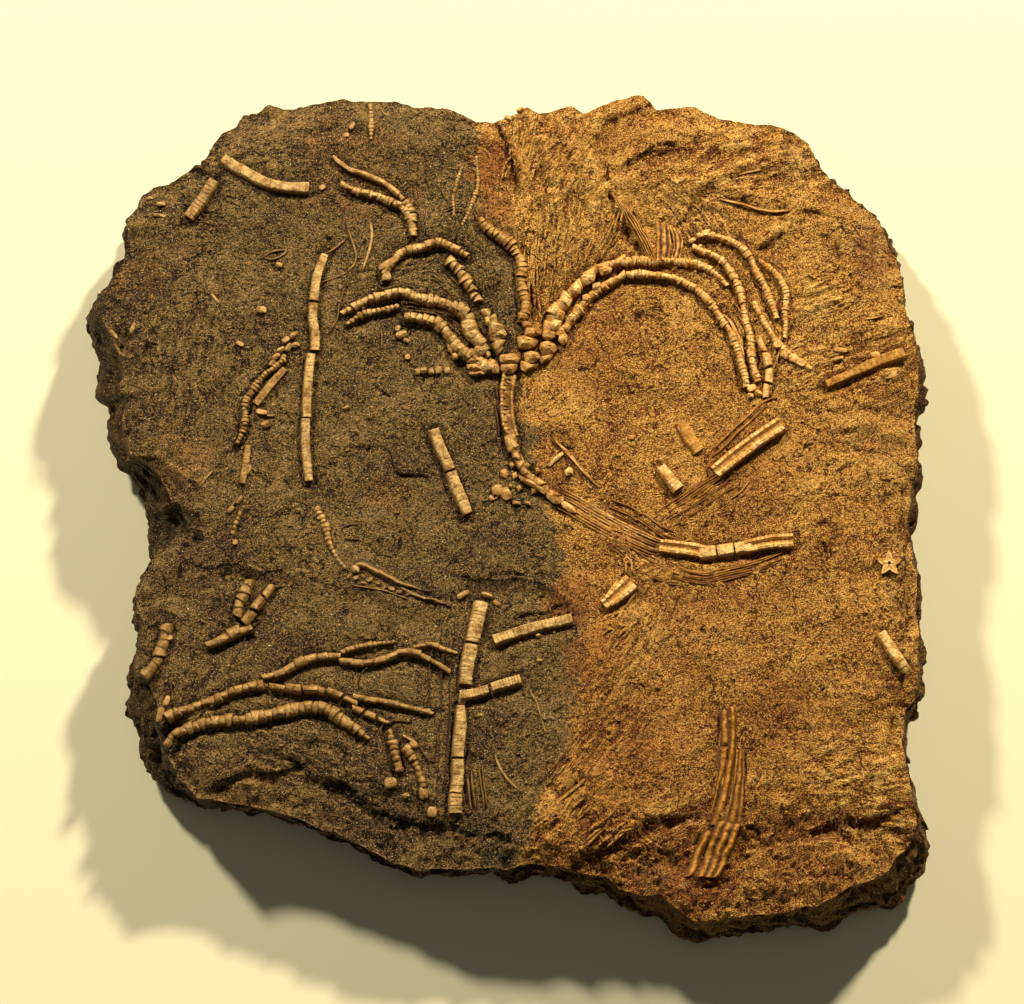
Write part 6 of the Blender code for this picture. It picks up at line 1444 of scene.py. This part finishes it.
def settle(piece, nodes=(), smoothAngle=40.0):
    # gives a finished piece its stain, shading and place in the frame
    mesh = piece.data
    places = np.empty(len(mesh.vertices) * 3, np.float32)
    mesh.vertices.foreach_get("co", places)
    places = places.reshape(-1, 3) / mm
    mesh.attributes.new("stain", "FLOAT", "POINT").data.foreach_set(
        "value", stainAt(places[:, 0], places[:, 1]).astype(np.float32))
    above = places[:, 2] - ground(places[:, 0], places[:, 1])
    # the foot of the piece, near the face, gets clay and painted shade
    clayAndPaintedShade = 1.0 - ease(above + 0.4 * waves(places[:, 0], places[:, 1], 2.5, 111), -0.2, 0.7)
    mesh.attributes.new("clayAndPaintedShade", "FLOAT", "POINT").data.foreach_set("value", clayAndPaintedShade.astype(np.float32))
    # pieces without their own crest are painted lighter the higher they stand: painted highlight on top, painted shade
    # at the foot
    if "crest" not in mesh.attributes:
        mesh.attributes.new("crest", "FLOAT", "POINT").data.foreach_set(
            "value", ease(above, -0.1, 0.7).astype(np.float32))
    mesh.shade_smooth()
    mesh.set_sharp_from_angle(angle=math.radians(smoothAngle))
    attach(piece, "root")
    if nodes:
        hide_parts(*nodes)
    return len(mesh.polygons)


calciteLooks = {
    # grooves, which also take the painted shade at the feet; body; crests, painted lighter as wear and highlight; then
    # what body and crests turn to on the stained side
    "tan": ("#331904", "#9A7036", "#EAC27E", "#B27834", "#F0C076"),
    "dull": ("#2C1602", "#835F2C", "#CCA05E", "#8C5A24", "#CC9854"),
    "bright": ("#351A04", "#7E4F18", "#E4B469", "#905A1B", "#EABA6C"),
    "golden": ("#4A240A", "#CC9040", "#FFDA90", "#CC9040", "#FFDA90"),
    "weathered": ("#452202", "#8C5A1C", "#CC9444", "#A2681C", "#DFA44A"),
}
weathered = ("bar_right_edge",)  # stems that lie half under the shale
dull = ("branch_arm", "thick_arm", "spiral_arm", "ribbed_arm", "smooth_arm", "forked", "beaded_arm", "wedge", "bar_rusty")


def calciteMaterial(kind):
    # replaced shell and stem plates: slightly waxy, crests painted pale as wear and highlight, joints dark with clay,
    # and low flanks and feet painted dark as shade and clay
    groove, body, crestColour, stainedBody, stainedCrest = (linear(c) for c in calciteLooks[kind])
    material = bpy.data.materials.new(f"{kind} crinoid calcite")
    material.use_nodes = True
    tree = material.node_tree
    shader = tree.nodes["Principled BSDF"]
    place = addNode(tree, "ShaderNodeTexCoord").outputs["Object"]
    crest = addNode(tree, "ShaderNodeAttribute", {"attribute_name": "crest"}).outputs["Fac"]
    stain = addNode(tree, "ShaderNodeAttribute", {"attribute_name": "stain"}).outputs["Fac"]

    def grain(scale, low, high, detail=3.0):
        spots = addNode(tree, "ShaderNodeTexNoise", {"Scale": scale, "Detail": detail, "Roughness": 0.6},
                        {"Vector": place})
        return addNode(tree, "ShaderNodeMapRange", {"From Min": low, "From Max": high},
                       {"Value": spots.outputs["Fac"]}).outputs["Result"]

    def mixed(factor, a, b):
        node = addNode(tree, "ShaderNodeMix", {"data_type": "RGBA"})
        for index, value in ((0, factor), (6, a), (7, b)):
            if isinstance(value, bpy.types.NodeSocket):
                tree.links.new(value, node.inputs[index])
            else:
                node.inputs[index].default_value = value
        return node.outputs[2]

    bodyColour = mixed(stain, body, stainedBody)
    top = mixed(stain, crestColour, stainedCrest)
    # crests painted pale: wear, and painted highlight
    wearAndPaintedHighlight = maths(tree, "MULTIPLY", grain(260.0, 0.36, 0.6), addNode(
        tree, "ShaderNodeMapRange", {"From Min": 0.45, "From Max": 1.0}, {"Value": crest}).outputs["Result"])
    colour = mixed(wearAndPaintedHighlight, bodyColour, top)
    # the joints are dark with clay; the low flanks and feet are painted dark as shade
    jointsAndPaintedShade = addNode(tree, "ShaderNodeMapRange", {"From Min": 0.5, "From Max": 0.05}, {"Value": crest}).outputs["Result"]
    colour = mixed(jointsAndPaintedShade, colour, groove)
    colour = mixed(maths(tree, "MULTIPLY", grain(1100.0, 0.52, 0.68), 0.65), colour, groove)
    # the foot of each piece, where it meets the face, takes the shale's clay and painted shade
    clayAndPaintedShade = addNode(tree, "ShaderNodeAttribute", {"attribute_name": "clayAndPaintedShade"}).outputs["Fac"]
    clayAndPaintedShade = maths(tree, "MULTIPLY", clayAndPaintedShade, maths(tree, "MULTIPLY_ADD", grain(500.0, 0.35, 0.65), 0.4, 0.55))
    colour = mixed(clayAndPaintedShade, colour, mixed(stain, linear("#33230C"), linear("#70400A")))
    tree.links.new(colour, shader.inputs["Base Color"])
    shader.inputs["Roughness"].default_value = 0.55
    shader.inputs["IOR"].default_value = 1.57
    shader.inputs["Specular IOR Level"].default_value = 0.25
    pores = addNode(tree, "ShaderNodeTexNoise", {"Scale": 900.0, "Detail": 3.0, "Roughness": 0.6}, {"Vector": place})
    bump = addNode(tree, "ShaderNodeBump", {"Strength": 0.9, "Distance": 0.45 * mm}, {"Height": pores.outputs["Fac"]})
    tree.links.new(bump.outputs[0], shader.inputs["Normal"])
    return material


calcites = {kind: calciteMaterial(kind) for kind in calciteLooks}


# how much the plates of a style differ in size, and lean, in degrees
plateSpread = {"wedge": (0.2, 15.0), "rib": (0.17, 12.0), "bead": (0.2, 14.0), "smooth": (0.08, 4.0),
               "columnal": (0.025, 1.0), "grooved": (0.03, 1.0), "channel": (0.05, 2.0)}
# stems that are broken across, and into how many lengths
brokenStems = {"long_stem_left_upper": 2, "stem_piece_middle": 2, "low_stem_upper": 2, "low_stem_lower": 2,
               "crossing_bar": 2, "bar_bent": 1, "branch_arm_lower": 2}


def lengthsOf(route, count, wander, seed, gap=0.7):
    # the route as smooth lines, one for each length that it is broken into, wandering and swelling a little
    smooth = smoothRoute(route)
    walked = np.arange(len(smooth)) * 0.8 + 7.0 * seed
    smooth[:, 0] += wander * waves(walked, walked * 0.0, 9.0, 5)
    smooth[:, 1] += wander * waves(walked, walked * 0.0 + 50.0, 9.0, 5)
    smooth[:, 2] *= 1.0 + 0.45 * wander * waves(walked, walked * 0.0 + 90.0, 6.0, 6)
    cuts = np.linspace(0, len(smooth), count + 1).astype(int)
    spare = max(1, round(0.5 * gap / 0.8))
    return [smooth[(a + spare if a else a):(b - spare if b < len(smooth) else b)] for a, b in zip(cuts, cuts[1:])]


def layArm(name, kind, style, rise, length, route, seed, nodes=()):
    uneven, lean = plateSpread[style]
    node = name.removesuffix("_plates")
    wander = 0.65 if lean > 3.0 else 0.05
    parts = lengthsOf(route, brokenStems.get(node, 1), wander, seed)
    base = drapedLines(name, [(part, {}) for part in parts], 0.25)
    piece = grow(name, base, plateTree, {
        "Plates": plateTemplates[style], "Plate Length": length * mm, "Rise": rise * 1.12, "Uneven": uneven,
        "Twist": math.radians(lean), "Seed": seed, "Calcite": calcites[kind]})
    return settle(piece, nodes, 32.0)


def layStrands(name, kind, sets, seed, nodes=(), wander=0.9, ragged=0.25, sink=0.1, finish=None):
    lines = [(smoothRoute([(x, y, spread) for x, y in line]), {"strands": count, "radius": radius * mm})
             for count, radius, spread, line in sets]
    piece = grow(name, drapedLines(name, lines, sink), strandTree, {
        "Step": 1.1 * mm, "Wander": wander * mm, "Raggedness": ragged, "Seed": seed,
        "Calcite": finish or calcites[kind]})
    return settle(piece, nodes, 60.0)


def layBlocks(name, kind, blocks, seed, nodes=()):
    blocks = np.array(blocks, float)
    x, y = blocks[:, 0], blocks[:, 1]
    mesh = bpy.data.meshes.new(name)
    mesh.from_pydata(np.stack([x, y, ground(x, y) - 0.2], axis=1) * mm, [], [])
    mesh.attributes.new("size", "FLOAT_VECTOR", "POINT").data.foreach_set(
        "vector", (blocks[:, [2, 3, 5]] * mm).astype(np.float32).ravel())
    mesh.attributes.new("turn", "FLOAT", "POINT").data.foreach_set(
        "value", np.radians(blocks[:, 4]).astype(np.float32))
    piece = grow(name, bpy.data.objects.new(name, mesh), blockTree, {
        "Blocks": blockTemplates, "Seed": seed, "Calcite": calcites[kind]})
    return settle(piece, nodes, 35.0)


def layFacets(name, kind, plates, nodes=()):
    # each plate is its outline raised to a bevelled, off-centre peak, so that its facets catch the light
    points, faces, crest = [], [], []
    chance = np.random.default_rng(len(name))
    for height, outline in plates:
        outline = np.array(outline, float)
        middle = outline.mean(axis=0)
        corners = np.stack([outline, 0.5 * (outline + np.roll(outline, -1, axis=0))], axis=1).reshape(-1, 2)
        corners[1::2] += 0.03 * (corners[1::2] - middle)
        level = float(ground(middle[:1], middle[1:])[0])
        first, sides = len(points), len(corners)
        peak = middle + chance.uniform(-0.12, 0.12, 2) * np.ptp(outline, axis=0)
        # bright: painted lighter towards the peak, as highlight, and dark at the foot, as shade
        for reach, z, bright in ((1.1, -0.4, 0.0), (1.06, 0.3, 0.0), (0.94, 0.62, 0.7), (0.4, 0.95, 1.0)):
            centre = middle if reach > 0.9 else peak
            for x, y in centre + (corners - centre) * reach:
                points.append((x * mm, y * mm, (level + height * z * (1 + chance.uniform(-0.1, 0.1))) * mm))
                crest.append(bright)
        points.append((peak[0] * mm, peak[1] * mm, (level + height) * mm))
        crest.append(0.9)
        faces += [(first + r * sides + k, first + r * sides + (k + 1) % sides,
                   first + (r + 1) * sides + (k + 1) % sides, first + (r + 1) * sides + k)
                  for r in range(3) for k in range(sides)]
        faces += [(first + 3 * sides + k, first + 3 * sides + (k + 1) % sides, first + 4 * sides) for k in range(sides)]
        faces.append(tuple(first + k for k in range(sides)))
    made = templateSet(name, [(points, faces, crest)])
    piece = made.objects[0]
    piece.name = name
    bpy.context.scene.collection.objects.link(piece)
    bpy.data.collections.remove(made)
    piece.data.materials.append(calcites[kind])
    return settle(piece, nodes, 20.0)


def laySheets(name, kind, sheets, nodes=()):
    # a sheet is a grid from one edge to the other, ridged along its length, closed below the shale
    # without a kind it is only relief of the shale, painted darker than the shale around it and darkest in its grooves,
    # as shade
    points, faces, crest = [], [], []
    for height, ridges, sunkStart, sunkEnd, *edges in sheets:
        lines = [smoothRoute([(x, y, 0.0) for x, y in edge], 1.0) for edge in edges]
        rows, columns = 2 * max(len(line) for line in lines), 8 * ridges + 3
        ragged = 0.3
        along, across = (g.ravel() for g in np.meshgrid(np.linspace(0, 1, rows), np.linspace(0, 1, columns), indexing="ij"))
        ax, ay, bx, by = (np.interp(along, np.linspace(0, 1, len(line)), line[:, k]) for line in lines for k in (0, 1))
        x, y = ax + (bx - ax) * across, ay + (by - ay) * across
        x, y = x + ragged * rough(x, y, 9.0, 121), y + ragged * rough(x, y, 5.0, 123)
        bend = 0.16 / ridges * rough(20.0 * along, 3.0 * across, 9.0, 125)
        ridge = 0.5 + 0.5 * np.cos(2 * math.pi * ridges * (across - 0.5 + bend))
        depth = 0.8 if ridges == 1 else 0.5
        level = (1.0 - depth + depth * ridge) * (1.0 - 0.6 * np.abs(2 * across - 1) ** 8)
        level = level * (0.8 + 0.35 * rough(x, y, 4.0, 127)) * (0.85 + 0.35 * waves(6.0 * ridges * across, 9.0 * along, 4.0, 129))
        level = level * ease(along, 0.0, max(sunkStart, 0.01)) ** 0.5 * (1.0 - ease(along, 1.0 - sunkEnd, 1.001))
        low = ground(x, y)
        size, first = len(x), len(points)
        for z in (np.minimum(low + height * level, 42.2), low - 0.9):
            points += list(zip(x * mm, y * mm, z * mm))
        # ridges painted lighter and grooves darker, as highlight and shade
        crest += list(np.clip(0.05 + 0.78 * ridge, 0.0, 1.0) if kind else 1.5 * ridge - 1.45) + [0.0] * size
        ids = first + np.arange(size).reshape(rows, columns)
        for shift in (0, size):
            cells = np.stack([ids[:-1, :-1], ids[1:, :-1], ids[1:, 1:], ids[:-1, 1:]], axis=-1).reshape(-1, 4) + shift
            faces += [tuple(cell) for cell in cells.tolist()]
        border = np.concatenate([ids[:-1, 0], ids[-1, :-1], ids[:0:-1, -1], ids[0, :0:-1]]).tolist()
        faces += [(a, b, b + size, a + size) for a, b in zip(border, border[1:] + border[:1])]
    made = templateSet(name, [(points, faces, crest)])
    piece = made.objects[0]
    piece.name = name
    bpy.context.scene.collection.objects.link(piece)
    bpy.data.collections.remove(made)
    piece.data.materials.append(calcites[kind] if kind else shaleFinish)
    return settle(piece, nodes, 50.0)


faces = 0
for kind, group in (("tan", leftFossils), ("bright", middleFossils), ("golden", rightFossils)):
    for seed, (name, (style, rise, length, route)) in enumerate(group.items()):
        look = "weathered" if name in weathered else "dull" if name.startswith(dull) else kind
        faces += layArm(name + "_plates", look, style, rise, length, route, seed, (name,))
for seed, (name, (kind, style, rise, length, route)) in enumerate(looseArms.items()):
    kind = "dull" if name.startswith(dull) else kind
    faces += layArm(name, kind, style, rise, length, route, 40 + seed)
print("arms and stems have", faces, "faces")

faces = 0
kind, *values = strandSets.pop("cirri_bundle")
faces += layStrands("cirri_bundle_strands", kind, [values], 3, ("cirri_bundle",), 0.8, 0.1)
# fine threads that show only as relief of the shale: how much thicker, and how deep they lie
impressions = {"pinnules": (1.0, -0.2), "flow_left": (0.9, 0.05), "feather": (1.2, -0.1), "fold_lines": (1.2, 0.0)}
for kind in calciteLooks:
    sets = [values for name, (owner, *values) in strandSets.items()
            if owner == kind and not name.startswith(tuple(impressions))]
    if sets:
        faces += layStrands(f"threads_{kind}", kind, sets, 5, wander=1.4)
for start, (thicker, sink) in impressions.items():
    sets = [[round(2.4 * count), thicker * radius, 1.1 * spread, line]
            for name, (_, count, radius, spread, line) in strandSets.items() if name.startswith(start)]
    faces += layStrands(f"{start}_impressions", None, sets, 9, (), 2.8, 0.7, sink, shaleFinish)
print("threads, cirri and pinnules have", faces, "faces")

faces = 0
for seed, (name, (kind, blocks)) in enumerate(blockSets.items()):
    faces += layBlocks(name, kind, blocks, seed)
for name, (kind, sheets) in sheetSets.items():
    faces += laySheets(name + "_sheet", kind, sheets, (name,))
for name, (kind, plates) in facetSets.items():
    faces += layFacets(name + "_facets", kind, plates, (name,) if name in frameNodes else ())
print("loose plates have", faces, "faces")

# ---- the star-shaped stem plate ----
star = {"place": (153.5, -25.5), "radius": 5.6, "waist": 0.46, "lumen": 0.13, "thickness": 1.7, "turn": 18.0}


def makeStar():
    # a five-pointed plate lying flat, with a petal ridge along each point and a small hole at its centre
    points, faces, crest = [], [], []
    sides = 40
    # bright: painted lighter on the raised rings and darker at the foot and in the central dip, as highlight and shade
    rings = [(1.0, -0.5, 0), (1.0, 0.7, 0.5), (0.94, 1.0, 1), (0.72, 0.9, 0.7), (0.45, 0.85, 0.6),
             (star["lumen"] * 1.6, 1.0, 1), (star["lumen"], 0.7, 0.2)]
    for reach, level, bright in rings:
        for k in range(sides):
            turn = 2 * math.pi * k / sides
            point = abs(((k / sides * 5) % 1.0) - 0.5) * 2.0
            edge = star["waist"] + (1 - star["waist"]) * point ** 1.5
            reachHere = star["radius"] * reach * (edge if reach > 0.3 else 0.8)
            angle = turn + math.radians(star["turn"])
            x = star["place"][0] + reachHere * math.cos(angle)
            y = star["place"][1] + reachHere * math.sin(angle)
            points.append((x, y, level * star["thickness"] * (1.0 - 0.15 * (1 - point))))
            crest.append(bright)
    level = ground(*(np.array([v]) for v in star["place"]))[0] - 0.25
    points = [(x * mm, y * mm, (z + level) * mm) for x, y, z in points]
    points.append((star["place"][0] * mm, star["place"][1] * mm, (level + 0.35 * star["thickness"]) * mm))
    crest.append(0.0)
    last = (len(rings) - 1) * sides
    faces = [(r * sides + k, r * sides + (k + 1) % sides, (r + 1) * sides + (k + 1) % sides, (r + 1) * sides + k)
             for r in range(len(rings) - 1) for k in range(sides)]
    faces += [(last + k, last + (k + 1) % sides, len(points) - 1) for k in range(sides)]
    faces.append(tuple(range(sides)))
    shapes = templateSet("star_columnal_plate", [(points, faces, crest)])
    piece = shapes.objects[0]
    bpy.context.scene.collection.objects.link(piece)
    bpy.data.collections.remove(shapes)
    piece.data.materials.append(calcites["golden"])
    settle(piece, ("star_columnal",))


makeStar()

# ---- loose grit on the face ----
grit = {"perSquareMetre": 42000.0, "smallest": 0.35, "largest": 2.2, "seed": 4}
base = bpy.data.objects.new("grit_base", shaleSlab.data.copy())
loose = grow("shale_grit", base, grainTree, {
    "Grains": chipTemplates, "Density": grit["perSquareMetre"], "Smallest": grit["smallest"] * mm,
    "Largest": grit["largest"] * mm, "Seed": grit["seed"], "Shale": shaleFinish})
settle(loose, (), 30.0)
print("grit has", len(loose.data.polygons), "faces")

for group in (*plateTemplates.values(), blockTemplates, chipTemplates):
    for item in list(group.objects):
        bpy.data.objects.remove(item)
    bpy.data.collections.remove(group)
